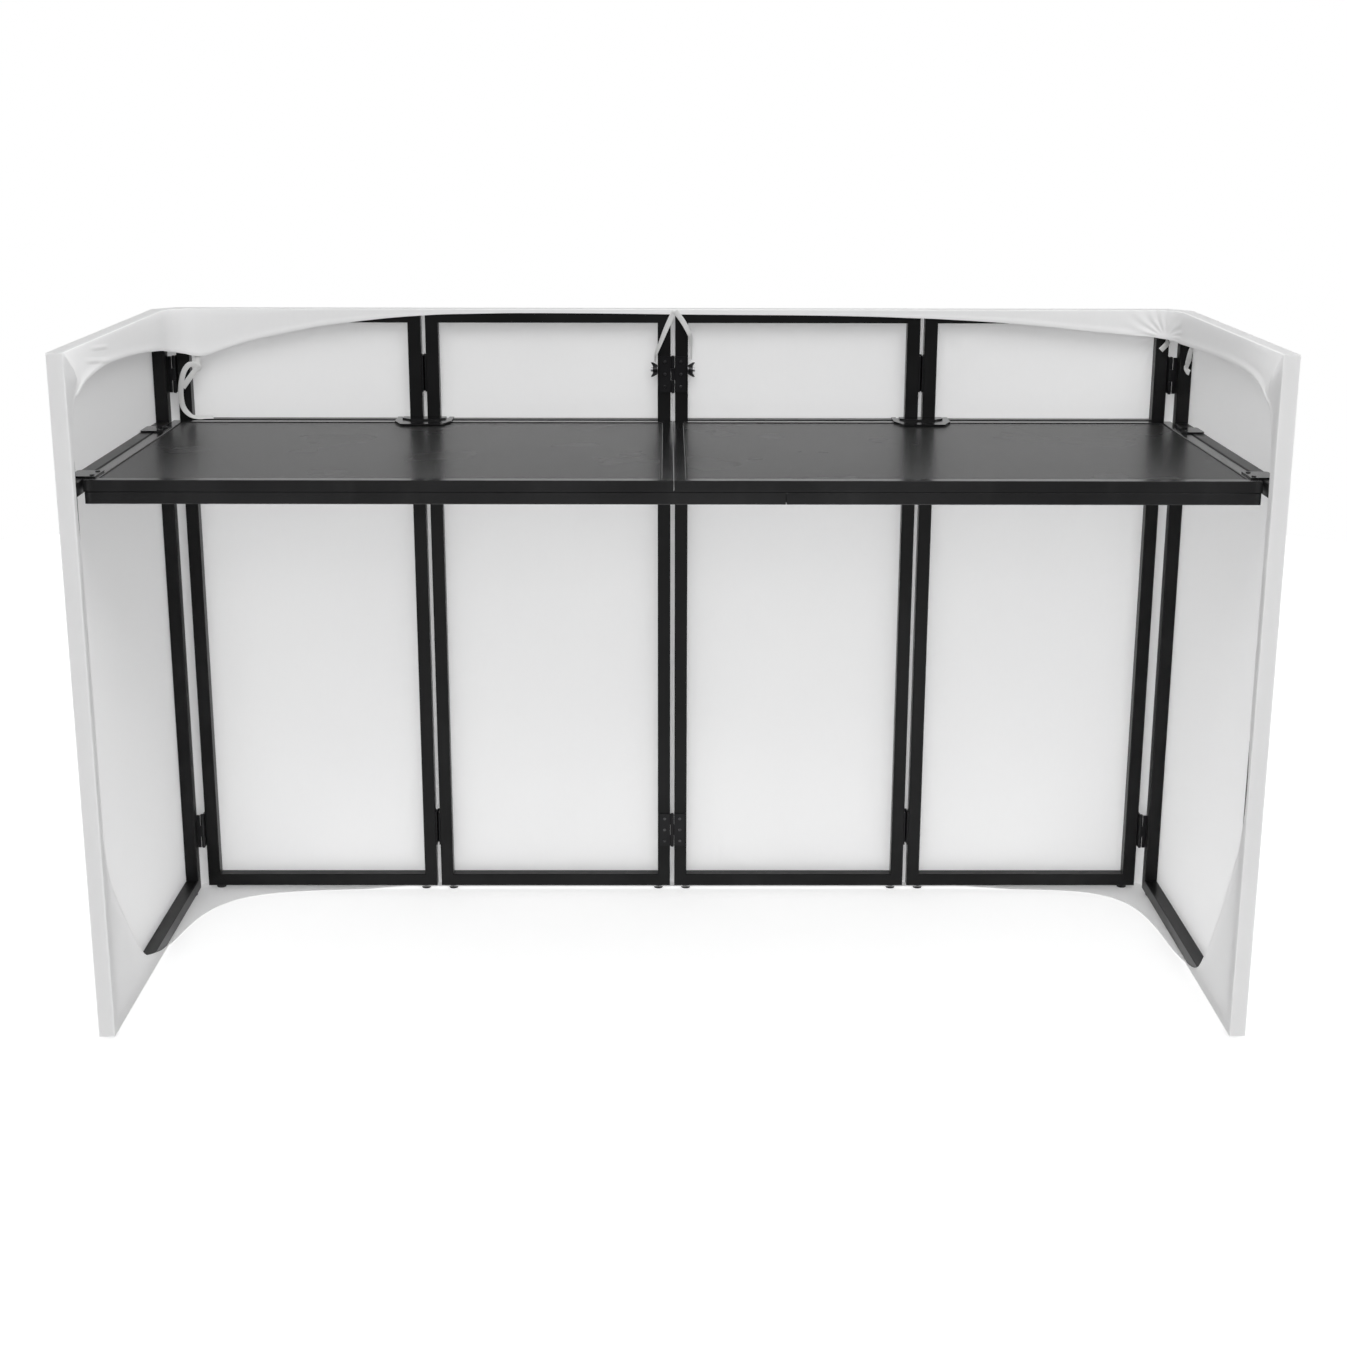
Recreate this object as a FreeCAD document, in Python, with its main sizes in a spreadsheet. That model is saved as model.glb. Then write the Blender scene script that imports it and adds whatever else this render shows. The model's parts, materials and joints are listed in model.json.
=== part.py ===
"""Folding DJ booth: six hinged tube panels under a stretch cover, with a two-part lift-in table."""
import FreeCAD
import Part
import math
import os
import Sketcher
from FreeCAD import Rotation, Vector

doc = FreeCAD.newDocument("dj_booth")
sheet = doc.addObject("Spreadsheet::Sheet", "Sheet")

# Driving dimensions in millimetres
SIZES = {
    "tube_side": 25,
    "tube_wall": 1.5,
    "tube_chamfer": 1.5,
    "panel_width": 476,
    "panel_gap": 9,
    "panel_height": 1189,
    "side_length": 706,
    "corner_step": 13,
    "shelf_drop": 213,
    "foot_height": 8,
    "foot_radius": 11,
    "foot_taper": 2,
    "foot_inset": 24,
    "hinge_height": 70,
    "hinge_inset": 124,
    "leaf_thickness": 2.5,
    "leaf_reach": 21,
    "barrel_radius": 3.5,
    "knuckle_gap": 0.4,
    "pin_radius": 1.8,
    "pin_clearance": 0.05,
    "fold_pin_stand": 1.5,
    "stud_radius": 4,
    "stud_clearance": 0.05,
    "stud_hole_clearance": 0.4,
    "stud_end": 4,
    "stud_inset": 9,
    "stud_drop": 116,
    "nut_gap": 0.5,
    "nut_length": 9,
    "nut_base_radius": 8,
    "nut_nose_radius": 6.5,
    "wing_span": 28,
    "wing_rise": 8,
    "wing_thickness": 3.5,
    "wing_tip_radius": 5,
    "table_depth": 657,
    "table_gap": 4,
    "table_rear_gap": 15,
    "table_split": 1,
    "rail_side": 20,
    "rail_wall": 1.5,
    "rail_chamfer": 1,
    "top_thickness": 1.5,
    "top_drop": 1.5,
    "beam_split": 186,
    "beam_gap": 1,
    "beam_inset": 2,
    "tab_length": 60,
    "tab_root": 16,
    "tab_reach": 24,
    "tab_thickness": 3,
    "tab_radius": 6,
    "tab_rear": 140,
    "tab_front": 624,
    "seat_clearance": 0.2,
    "catch_back": 110,
    "catch_front": 78,
    "catch_depth": 78,
    "catch_gap": 1,
    "catch_thickness": 3,
    "catch_step_width": 84,
    "catch_step_depth": 36,
    "catch_step_height": 3,
    "tongue_width": 9,
    "tongue_reach": 16,
    "cloth_thickness": 0.9,
    "cloth_clearance": 0.3,
    "cloth_low": 2,
    "cloth_seam": 0.3,
    "cloth_window": 3,
    "cloth_corner": 3,
    "hem_corner_drop": 86,
    "hem_middle_drop": 11,
    "hem_wing_radius": 2700,
    "hem_side_drop": 55,
    "hem_side_radius": 3600,
    "hem_turn_run": 119,
    "hem_turn_drop": 142,
    "hem_turn_radius": 95,
    "return_width": 20,
    "flare_height": 347,
    "flare_run": 309,
    "flare_radius": 585,
    "web_side_run": 190,
    "web_front_run": 180,
    "web_radius": 200,
    "tie_width": 9,
    "tie_thickness": 1,
    "tie_drop": 66,
    "tie_spread": 25,
    "tie_corner_length": 108,
}
for row, (alias, number) in enumerate(SIZES.items(), start=1):
    sheet.set(f"A{row}", alias)
    sheet.set(f"B{row}", str(number))
    sheet.setAlias(f"B{row}", alias)
doc.recompute()

# Places worked out from the driving dimensions, as expressions on the sheet
SKIN = "(Sheet.cloth_clearance + Sheet.cloth_thickness)"
PITCH = "(Sheet.panel_width + Sheet.panel_gap)"
END_X = f"(2 * {PITCH} - Sheet.panel_gap / 2)"
SIDE_IN = f"({END_X} + Sheet.corner_step)"
SIDE_OUT = f"({SIDE_IN} + Sheet.tube_side)"
FRAME_TOP = "(Sheet.foot_height + Sheet.panel_height)"
SHELF_TOP = f"({FRAME_TOP} - Sheet.shelf_drop)"
STUD_Z = f"({FRAME_TOP} - Sheet.stud_drop)"
FRONT_REACH = "(Sheet.tube_side + Sheet.fold_pin_stand + Sheet.barrel_radius)"
SIDE_REACH = f"(Sheet.corner_step + Sheet.side_length + {SKIN})"
DJ_FACE = f"(({SIDE_REACH} - {FRONT_REACH}) / 2)"
FACADE = f"({DJ_FACE} + Sheet.tube_side)"
SIDE_REAR = f"({DJ_FACE} - Sheet.corner_step)"
SIDE_NEAR = f"({SIDE_REAR} - Sheet.side_length)"
HINGE_LOW = "(Sheet.foot_height + Sheet.hinge_inset)"
HINGE_HIGH = f"({FRAME_TOP} - Sheet.hinge_inset)"
FOLD_Y = f"({FACADE} + Sheet.fold_pin_stand)"
CORNER_X = f"(-{END_X} - Sheet.barrel_radius)"
CORNER_Y = f"({SIDE_REAR} + Sheet.barrel_radius)"
TABLE_REAR = f"({DJ_FACE} - Sheet.table_rear_gap)"
TABLE_FRONT = f"({TABLE_REAR} - Sheet.table_depth)"
TABLE_END = f"({SIDE_IN} - Sheet.table_gap)"
TABLE_TOP = f"({SHELF_TOP} + Sheet.seat_clearance)"
TABLE_HALF = f"({TABLE_END} - Sheet.table_split / 2)"
RAIL_LOW = f"({TABLE_TOP} - Sheet.rail_side)"

exported = {}


def value(expression):
    """The number that an expression on the sheet gives now."""
    return float(sheet.evalExpression(str(expression)))


def bind(thing, **expressions):
    """Tie properties to expressions; a double underscore stands for a dot."""
    for prop, expression in expressions.items():
        thing.setExpression(prop.replace("__", "."), str(expression))
    return thing


def place(thing, x=0, y=0, z=0, turn=None):
    """Put an object at a bound place, turned by a fixed rotation."""
    if turn:
        thing.Placement.Rotation = turn
    return bind(thing, Placement__Base__x=x, Placement__Base__y=y, Placement__Base__z=z)


def box(name, low, size):
    """A block from its lowest corner and its size."""
    block = doc.addObject("Part::Box", name)
    bind(block, Length=size[0], Width=size[1], Height=size[2])
    return place(block, *low)


def cylinder(name, radius, height, at=(0, 0, 0), turn=None):
    """A round bar along its own axis."""
    bar = doc.addObject("Part::Cylinder", name)
    bind(bar, Radius=radius, Height=height)
    return place(bar, *at, turn=turn)


def cone(name, radius_low, radius_high, height, at=(0, 0, 0), turn=None):
    """A tapered round bar along its own axis."""
    bar = doc.addObject("Part::Cone", name)
    bind(bar, Radius1=radius_low, Radius2=radius_high, Height=height)
    return place(bar, *at, turn=turn)


def cut(name, base, tool):
    """What is left of base when tool is taken away."""
    result = doc.addObject("Part::Cut", name)
    result.Base = base
    result.Tool = tool
    return result


def fuse(name, pieces):
    """Several overlapping pieces as one solid."""
    result = doc.addObject("Part::MultiFuse", name)
    result.Shapes = pieces
    return result


def group(name, pieces, x=0, y=0, z=0, turn=None):
    """Several solids kept apart in one object, at one place."""
    result = doc.addObject("Part::Compound", name)
    result.Links = pieces
    return place(result, x, y, z, turn)


def mirror(name, source, normal=(1, 0, 0), x=0, z=0):
    """The mirror image of an object in a plane."""
    result = doc.addObject("Part::Mirroring", name)
    result.Source = source
    result.Normal = Vector(*normal)
    return bind(result, Base__x=x, Base__z=z)


def keep(name, thing):
    """Hand an object in as the sub-part of that name."""
    thing.Label = name
    exported[name] = thing
    return thing


def both_sides(left_name, right_name, left):
    """Hand in a left sub-part and its mirror image on the right."""
    keep(left_name, left)
    keep(right_name, mirror(right_name, left))


def new_sketch(body, name, role):
    """An empty sketch on one of a body's own origin planes."""
    plane = next(p for p in body.Origin.OriginFeatures if p.Role == role)
    drawing = body.newObject("Sketcher::SketchObject", name)
    drawing.AttachmentSupport = [(plane, "")]
    drawing.MapMode = "FlatFace"
    return drawing


def pin_point(drawing, edge, end, x, y):
    """Hold an edge's end at a bound place in the sketch."""
    for kind, expression, axis in (("DistanceX", x, -2), ("DistanceY", y, -1)):
        number = value(expression)
        if abs(number) < 1e-9:
            drawing.addConstraint(Sketcher.Constraint("PointOnObject", edge, end, axis))
            continue
        index = drawing.addConstraint(Sketcher.Constraint(kind, -1, 1, edge, end, number))
        drawing.setExpression(f"Constraints[{index}]", str(expression))


def arc_between(first, last, radius):
    """An arc of that radius from first to last; a negative radius bends the other way."""
    middle = (first + last) / 2
    across = last - first
    reach = math.sqrt(radius * radius - across.Length * across.Length / 4)
    side = Vector(-across.y, across.x, 0).normalize()
    centre = middle + side * math.copysign(reach, radius)
    start = math.atan2(first.y - centre.y, first.x - centre.x)
    stop = math.atan2(last.y - centre.y, last.x - centre.x)
    if radius < 0:
        start, stop = stop, start
    circle = Part.Circle(centre, Vector(0, 0, 1), abs(radius))
    return Part.ArcOfCircle(circle, start, stop)


def outline(drawing, corners):
    """A closed outline of corners (x, y), or (x, y, radius) where an arc goes on to the next corner."""
    points = [Vector(value(c[0]), value(c[1]), 0) for c in corners]
    ends = []
    for index, corner in enumerate(corners):
        first, last = points[index], points[(index + 1) % len(points)]
        if len(corner) == 2:
            edge = drawing.addGeometry(Part.LineSegment(first, last), False)
            ends.append((edge, 1, 2))
            continue
        radius = value(corner[2])
        edge = drawing.addGeometry(arc_between(first, last, radius), False)
        ends.append((edge, 1, 2) if radius > 0 else (edge, 2, 1))
        bound = drawing.addConstraint(Sketcher.Constraint("Radius", edge, abs(radius)))
        drawing.setExpression(f"Constraints[{bound}]", f"abs({corner[2]})")
    for index, (edge, start, stop) in enumerate(ends):
        after, after_start, _ = ends[(index + 1) % len(ends)]
        drawing.addConstraint(Sketcher.Constraint("Coincident", edge, stop, after, after_start))
        pin_point(drawing, edge, start, corners[index][0], corners[index][1])


def plate(name, corners, thickness, role="XY_Plane"):
    """A flat piece of an outline and a thickness."""
    body = doc.addObject("PartDesign::Body", name)
    drawing = new_sketch(body, f"{name}_outline", role)
    outline(drawing, corners)
    pad = body.newObject("PartDesign::Pad", f"{name}_pad")
    pad.Profile = drawing
    bind(pad, Length=thickness)
    return body


def chamfered_square(side, chamfer):
    """The corners of a square with broken corners, from the origin."""
    far = f"({side} - {chamfer})"
    return [
        (chamfer, "0"), (far, "0"), (side, chamfer), (side, far),
        (far, side), (chamfer, side), ("0", far), ("0", chamfer),
    ]


def tube(name, length, side, wall, chamfer, mitred):
    """A square tube standing on its end, its ends cut at 45 degrees on the +X side if mitred."""
    body = doc.addObject("PartDesign::Body", name)
    section = new_sketch(body, f"{name}_section", "XY_Plane")
    outline(section, chamfered_square(side, chamfer))
    inner = f"({side} - {wall})"
    outline(section, [(wall, wall), (inner, wall), (inner, inner), (wall, inner)])
    pad = body.newObject("PartDesign::Pad", f"{name}_pad")
    pad.Profile = section
    bind(pad, Length=length)
    if not mitred:
        return body
    ends = new_sketch(body, f"{name}_mitres", "XZ_Plane")
    outline(ends, [("0", "0"), (side, "0"), (side, side)])
    outline(ends, [("0", length), (side, f"{length} - {side}"), (side, length)])
    doc.recompute()
    whole = body.Shape.Volume
    pocket = body.newObject("PartDesign::Pocket", f"{name}_mitre_cut")
    pocket.Profile = ends
    pocket.Type = "ThroughAll"
    doc.recompute()
    if body.Shape.Volume > whole - 1:
        raise RuntimeError(f"{name}: the mitre cut took nothing away")
    return body


LENGTHWAYS = Rotation(Vector(1, 0, 1), 180)
TO_LEFT = Rotation(Vector(0, 1, 0), -90)
QUARTER_BACK = Rotation(Vector(0, 0, 1), -90)
TUBE = ("Sheet.tube_side", "Sheet.tube_wall", "Sheet.tube_chamfer")
RAIL = ("Sheet.rail_side", "Sheet.rail_wall", "Sheet.rail_chamfer")


# Panel frames
def panel_tubes(name, width):
    """The cross tubes of a frame, lying at their places: bottom, top and shelf rail."""
    bottom = place(tube(f"{name}_bottom", width, *TUBE, True), y="Sheet.tube_side", turn=LENGTHWAYS)
    top = mirror(f"{name}_top", bottom, (0, 0, 1), z="Sheet.panel_height / 2")
    shelf = tube(f"{name}_shelf", f"{width} - 2 * Sheet.tube_side", *TUBE, False)
    shelf_low = "Sheet.panel_height - Sheet.shelf_drop - Sheet.tube_side"
    place(shelf, "Sheet.tube_side", "Sheet.tube_side", shelf_low, LENGTHWAYS)
    return [bottom, top, shelf]


upright = tube("upright", "Sheet.panel_height", *TUBE, True)
stud_hole = cylinder(
    "stud_hole", "Sheet.stud_radius + Sheet.stud_hole_clearance", "3 * Sheet.tube_side",
    ("2 * Sheet.tube_side", "Sheet.stud_inset", f"{STUD_Z} - Sheet.foot_height"), TO_LEFT)
drilled_upright = cut("drilled_upright", upright, stud_hole)
front_tubes = panel_tubes("front", "Sheet.panel_width")
side_tubes = panel_tubes("side", "Sheet.side_length")
far_upright = mirror("front_far_upright", upright, x="Sheet.panel_width / 2")
far_drilled = mirror("front_far_drilled", drilled_upright, x="Sheet.panel_width / 2")
side_far_upright = mirror("side_far_upright", upright, x="Sheet.side_length / 2")

center_left_frame = group(
    "center_left_panel_frame", [upright, far_drilled] + front_tubes,
    f"Sheet.panel_gap / 2 - {PITCH}", DJ_FACE, "Sheet.foot_height")
both_sides("center_left_panel_frame", "center_right_panel_frame", center_left_frame)
left_frame = group(
    "left_panel_frame", [upright, far_upright] + front_tubes, f"-{END_X}", DJ_FACE, "Sheet.foot_height")
both_sides("left_panel_frame", "right_panel_frame", left_frame)
side_frame = group(
    "left_side_frame", [upright, side_far_upright] + side_tubes,
    f"-{SIDE_OUT}", SIDE_REAR, "Sheet.foot_height", QUARTER_BACK)
both_sides("left_side_frame", "right_side_frame", side_frame)


# Rubber feet
def feet(name, width):
    """Two tapered feet under the ends of a frame, in the frame's own place."""
    low = "Sheet.foot_radius - Sheet.foot_taper"
    pieces = []
    for end, x in (("near", "Sheet.foot_inset"), ("far", f"{width} - Sheet.foot_inset")):
        at = (x, "Sheet.tube_side / 2", 0)
        pieces.append(cone(f"{name}_{end}", low, "Sheet.foot_radius", "Sheet.foot_height", at))
    return pieces


front_feet = feet("front_foot", "Sheet.panel_width")
side_feet = feet("side_foot", "Sheet.side_length")
both_sides("center_left_feet", "center_right_feet", group(
    "center_left_feet", front_feet, f"Sheet.panel_gap / 2 - {PITCH}", DJ_FACE))
both_sides("left_panel_feet", "right_panel_feet", group(
    "left_panel_feet", front_feet, f"-{END_X}", DJ_FACE))
both_sides("left_side_feet", "right_side_feet", group(
    "left_side_feet", side_feet, f"-{SIDE_OUT}", SIDE_REAR, 0, QUARTER_BACK))


# Hinges: each has two leaves with interleaved knuckles round one pin on the local Z axis
KNUCKLE = "(Sheet.hinge_height / 3)"
BACK_OFF = "(Sheet.barrel_radius + Sheet.knuckle_gap)"


def knuckles(name, middle, web_low, web_size):
    """A leaf's knuckles, the middle one or the outer two, each with the web that roots it in the leaf."""
    pieces = []
    for step in ((0,) if middle else (-1, 1)):
        low = f"({step} * {KNUCKLE} - {KNUCKLE} / 2 + Sheet.knuckle_gap / 2)"
        height = f"({KNUCKLE} - Sheet.knuckle_gap)"
        part_name = f"{name}_{'abc'[step + 1]}"
        pieces.append(cylinder(f"{part_name}_barrel", "Sheet.barrel_radius", height, (0, 0, low)))
        pieces.append(box(f"{part_name}_web", (*web_low, low), (*web_size, height)))
    return pieces


def leaf(name, plate_low, plate_size, web_low, web_size, middle):
    """One hinge leaf, bored for its pin."""
    blade = box(f"{name}_blade", (*plate_low, "-Sheet.hinge_height / 2"), (*plate_size, "Sheet.hinge_height"))
    solid = fuse(f"{name}_solid", [blade] + knuckles(name, middle, web_low, web_size))
    bore = cylinder(
        f"{name}_bore", "Sheet.pin_radius + Sheet.pin_clearance", "2 * Sheet.hinge_height",
        (0, 0, "-Sheet.hinge_height"))
    return cut(f"{name}_leaf", solid, bore)


def hinge_pair(name, piece, x, y):
    """The same hinge piece low and high on a joint line."""
    low = group(f"{name}_low", [piece], x, y, HINGE_LOW)
    high = group(f"{name}_high", [piece], x, y, HINGE_HIGH)
    return group(f"{name}_pair", [low, high])


hinge_pin = cylinder("hinge_pin", "Sheet.pin_radius", "Sheet.hinge_height", (0, 0, "-Sheet.hinge_height / 2"))

# Fold hinges, in the gap between neighbouring front panels, with the pin on the audience side
fold_leaf_y = "(-Sheet.fold_pin_stand - Sheet.leaf_reach)"
fold_leaf_size = ("Sheet.leaf_thickness", f"(-{BACK_OFF} - {fold_leaf_y})")
fold_web_size = ("Sheet.leaf_thickness", BACK_OFF)
fold_wing_x = "(-Sheet.panel_gap / 2)"
fold_center_x = "(Sheet.panel_gap / 2 - Sheet.leaf_thickness)"
fold_wing_leaf = leaf(
    "fold_wing", (fold_wing_x, fold_leaf_y), fold_leaf_size,
    (fold_wing_x, f"-{BACK_OFF}"), fold_web_size, False)
fold_center_leaf = leaf(
    "fold_center", (fold_center_x, fold_leaf_y), fold_leaf_size,
    (fold_center_x, f"-{BACK_OFF}"), fold_web_size, True)
both_sides("left_fold_hinge_wing_leaves", "right_fold_hinge_wing_leaves",
           hinge_pair("fold_wing_leaves", fold_wing_leaf, f"-{PITCH}", FOLD_Y))
both_sides("left_fold_hinge_center_leaves", "right_fold_hinge_center_leaves",
           hinge_pair("fold_center_leaves", fold_center_leaf, f"-{PITCH}", FOLD_Y))
both_sides("left_fold_hinge_pins", "right_fold_hinge_pins",
           hinge_pair("fold_pins", hinge_pin, f"-{PITCH}", FOLD_Y))

# Corner hinges, between a side and its front panel, with the pin in the inside corner
corner_run = "(Sheet.corner_step - Sheet.barrel_radius)"
corner_leaf_length = f"({corner_run} + Sheet.leaf_reach - {BACK_OFF})"
corner_wing_leaf = leaf(
    "corner_wing", ("Sheet.barrel_radius - Sheet.leaf_thickness", BACK_OFF),
    ("Sheet.leaf_thickness", corner_leaf_length),
    ("Sheet.barrel_radius - Sheet.leaf_thickness", 0), ("Sheet.leaf_thickness", BACK_OFF), False)
corner_side_leaf = leaf(
    "corner_side", (f"-{corner_leaf_length} - {BACK_OFF}", "-Sheet.barrel_radius"),
    (corner_leaf_length, "Sheet.leaf_thickness"),
    (f"-{BACK_OFF}", "-Sheet.barrel_radius"), (BACK_OFF, "Sheet.leaf_thickness"), True)
both_sides("left_corner_hinge_panel_leaves", "right_corner_hinge_panel_leaves",
           hinge_pair("corner_wing_leaves", corner_wing_leaf, CORNER_X, CORNER_Y))
both_sides("left_corner_hinge_side_leaves", "right_corner_hinge_side_leaves",
           hinge_pair("corner_side_leaves", corner_side_leaf, CORNER_X, CORNER_Y))
both_sides("left_corner_hinge_pins", "right_corner_hinge_pins",
           hinge_pair("corner_pins", hinge_pin, CORNER_X, CORNER_Y))

# Center hinge, on the inner faces of the two middle uprights, held shut by the lock stud
center_y = f"({DJ_FACE} - Sheet.leaf_thickness)"
center_leaf_length = f"(Sheet.panel_gap / 2 + Sheet.leaf_reach - {BACK_OFF})"
center_left_leaf = leaf(
    "center_left", (f"-{center_leaf_length} - {BACK_OFF}", 0), (center_leaf_length, "Sheet.leaf_thickness"),
    (f"-{BACK_OFF}", 0), (BACK_OFF, "Sheet.leaf_thickness"), False)
center_right_leaf = leaf(
    "center_right", (BACK_OFF, 0), (center_leaf_length, "Sheet.leaf_thickness"),
    (0, 0), (BACK_OFF, "Sheet.leaf_thickness"), True)
keep("center_hinge_left_leaves", hinge_pair("center_left_leaves", center_left_leaf, 0, center_y))
keep("center_hinge_right_leaves", hinge_pair("center_right_leaves", center_right_leaf, 0, center_y))
keep("center_hinge_pins", hinge_pair("center_pins", hinge_pin, 0, center_y))

# Lock stud through both middle uprights, with a wing nut at each end
stud_y = f"({DJ_FACE} + Sheet.stud_inset)"
nut_x = "(Sheet.panel_gap / 2 + Sheet.tube_side + Sheet.nut_gap)"
stud_half = f"({nut_x} + Sheet.nut_length + Sheet.stud_end)"
keep("lock_stud", cylinder(
    "lock_stud", "Sheet.stud_radius", f"2 * {stud_half}", (stud_half, stud_y, STUD_Z), TO_LEFT))
stud_bore = cylinder(
    "stud_bore", "Sheet.stud_radius + Sheet.stud_clearance", f"2 * {stud_half}",
    (0, stud_y, STUD_Z), TO_LEFT)
nut_hub = cone(
    "nut_hub", "Sheet.nut_base_radius", "Sheet.nut_nose_radius", "Sheet.nut_length",
    (f"-{nut_x}", stud_y, STUD_Z), TO_LEFT)
wing_half = "(Sheet.wing_span / 2)"
wing_low = "(-Sheet.nut_length)"
wing_high = f"({wing_low} - Sheet.wing_rise + Sheet.stud_end)"
wings = plate("nut_wings", [
    ("0", f"-{wing_half} + Sheet.wing_tip_radius"),
    ("0", f"{wing_half} - Sheet.wing_tip_radius"),
    (wing_low, wing_half), (wing_high, wing_half),
    (f"{wing_low} / 2", "0"),
    (wing_high, f"-{wing_half}"), (wing_low, f"-{wing_half}"),
], "Sheet.wing_thickness", "XZ_Plane")
place(wings, f"-{nut_x}", f"{stud_y} + Sheet.wing_thickness / 2", STUD_Z)
nut_solid = fuse("nut_solid", [nut_hub, wings])
both_sides("left_wing_nut", "right_wing_nut", cut("left_wing_nut", nut_solid, stud_bore))

# Table halves: a mitred rail frame with a cross bar, a let-in perforated top and a beam under the front
left_end = f"(-{TABLE_END})"
front_rail = place(
    tube("table_front_rail", TABLE_HALF, *RAIL, True), left_end, TABLE_FRONT, RAIL_LOW,
    Rotation(Vector(1, 1, 1), 120))
rear_rail = mirror("table_rear_rail", front_rail, (0, 1, 0))
bind(rear_rail, Base__y=f"({TABLE_FRONT} + {TABLE_REAR}) / 2")
end_rail = place(
    tube("table_end_rail", "Sheet.table_depth", *RAIL, True), left_end, TABLE_FRONT, TABLE_TOP,
    Rotation(Vector(1, 0, 0), -90))
inner_rail = mirror("table_inner_rail", end_rail, x=f"{left_end} + {TABLE_HALF} / 2")
cross_bar = place(
    tube("table_cross_bar", "Sheet.table_depth - 2 * Sheet.rail_side", *RAIL, False),
    f"{left_end} + {TABLE_HALF} / 2 - Sheet.rail_side / 2", f"{TABLE_FRONT} + Sheet.rail_side",
    f"{TABLE_TOP} - Sheet.top_drop - Sheet.top_thickness", Rotation(Vector(1, 0, 0), -90))
both_sides("left_table_frame", "right_table_frame", group(
    "left_table_frame", [front_rail, rear_rail, end_rail, inner_rail, cross_bar]))
both_sides("left_table_top", "right_table_top", box(
    "left_table_top",
    (f"{left_end} + Sheet.rail_side", f"{TABLE_FRONT} + Sheet.rail_side",
     f"{TABLE_TOP} - Sheet.top_drop - Sheet.top_thickness"),
    (f"{TABLE_HALF} - 2 * Sheet.rail_side", "Sheet.table_depth - 2 * Sheet.rail_side",
     "Sheet.top_thickness")))


def beam(name, start, length):
    """A stiffening beam under the table's front rail."""
    bar = tube(f"{name}_bar", length, *RAIL, False)
    place(bar, start, f"{TABLE_FRONT} + Sheet.rail_side", f"{RAIL_LOW} - Sheet.rail_side", LENGTHWAYS)
    return keep(name, bar)


beam("left_table_beam", f"{left_end} + Sheet.beam_inset",
     f"{TABLE_END} - Sheet.beam_inset + Sheet.beam_split - Sheet.beam_gap / 2")
beam("right_table_beam", "Sheet.beam_split + Sheet.beam_gap / 2",
     f"{TABLE_END} - Sheet.beam_inset - Sheet.beam_split - Sheet.beam_gap / 2")

# Side tabs that carry the table's ends on the side panels' shelf rails
tab_width = "(Sheet.tab_root + Sheet.table_gap + Sheet.tab_reach)"
tab_half = "(Sheet.tab_length / 2)"
tab_plate = plate("tab_plate", [
    ("Sheet.tab_radius", f"-{tab_half}"), (tab_width, f"-{tab_half}"), (tab_width, tab_half),
    ("Sheet.tab_radius", tab_half, "Sheet.tab_radius"), ("0", f"{tab_half} - Sheet.tab_radius"),
    ("0", f"-{tab_half} + Sheet.tab_radius", "Sheet.tab_radius"),
], "Sheet.tab_thickness")
tab_x = f"(-{TABLE_END} + Sheet.tab_root - {tab_width})"
both_sides("left_table_side_tabs", "right_table_side_tabs", group("left_side_tabs", [
    group("rear_tab", [tab_plate], tab_x, f"{DJ_FACE} - Sheet.tab_rear", TABLE_TOP),
    group("front_tab", [tab_plate], tab_x, f"{DJ_FACE} - Sheet.tab_front", TABLE_TOP)]))

# Rear catch plates, which reach over the front panels' shelf rails on both sides of a pair of uprights
back_half, front_half = "(Sheet.catch_back / 2)", "(Sheet.catch_front / 2)"
catch_plate = plate("catch_plate", [
    (f"-{front_half}", "-Sheet.catch_depth"), (front_half, "-Sheet.catch_depth"),
    (back_half, "-Sheet.catch_step_depth"), (back_half, "0"), (f"-{back_half}", "0"),
    (f"-{back_half}", "-Sheet.catch_step_depth"),
], "Sheet.catch_thickness")
step_half = "(Sheet.catch_step_width / 2)"
step_turn = "(Sheet.catch_step_depth / 2)"
catch_step = plate("catch_step", [
    (f"-{step_half} + {step_turn}", "-Sheet.catch_step_depth"),
    (f"{step_half} - {step_turn}", "-Sheet.catch_step_depth"),
    (step_half, f"-{step_turn}"), (step_half, "0"),
    (f"-{step_half}", "0"), (f"-{step_half}", f"-{step_turn}"),
], "Sheet.catch_step_height")
place(catch_step, z="Sheet.catch_thickness")
tongue = box(
    "catch_tongue", (f"{back_half} - Sheet.tongue_width", 0, 0),
    ("Sheet.tongue_width", "Sheet.catch_gap + Sheet.tongue_reach", "Sheet.catch_thickness"))
catch = [catch_plate, catch_step, tongue, mirror("catch_far_tongue", tongue)]
both_sides("left_table_catch", "right_table_catch", group(
    "left_table_catch", catch, f"-{PITCH}", f"{DJ_FACE} - Sheet.catch_gap", TABLE_TOP))

# Stretch cover, one set of sheets for each body that carries it
sheet_low = "Sheet.cloth_low"
sheet_high = f"({FRAME_TOP} + Sheet.cloth_clearance)"
sheet_height = f"({sheet_high} - {sheet_low})"
skin_front = f"({FACADE} + Sheet.cloth_clearance)"
skin_inner = f"({DJ_FACE} - {SKIN})"
lap_depth = f"({skin_front} + Sheet.cloth_thickness - {skin_inner})"
lap_high = f"({sheet_high} + Sheet.cloth_thickness)"
half_seam = "(Sheet.cloth_seam / 2)"


def hinge_windows(name, x, width):
    """Openings in a front sheet round the two fold hinges' barrels."""
    pieces = []
    for end, z in (("low", HINGE_LOW), ("high", HINGE_HIGH)):
        low = f"{z} - Sheet.hinge_height / 2 - Sheet.cloth_window"
        pieces.append(box(
            f"{name}_{end}", (x, f"{skin_front} - 1", low),
            (width, "Sheet.cloth_thickness + 2", "Sheet.hinge_height + 2 * Sheet.cloth_window")))
    return pieces


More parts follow.
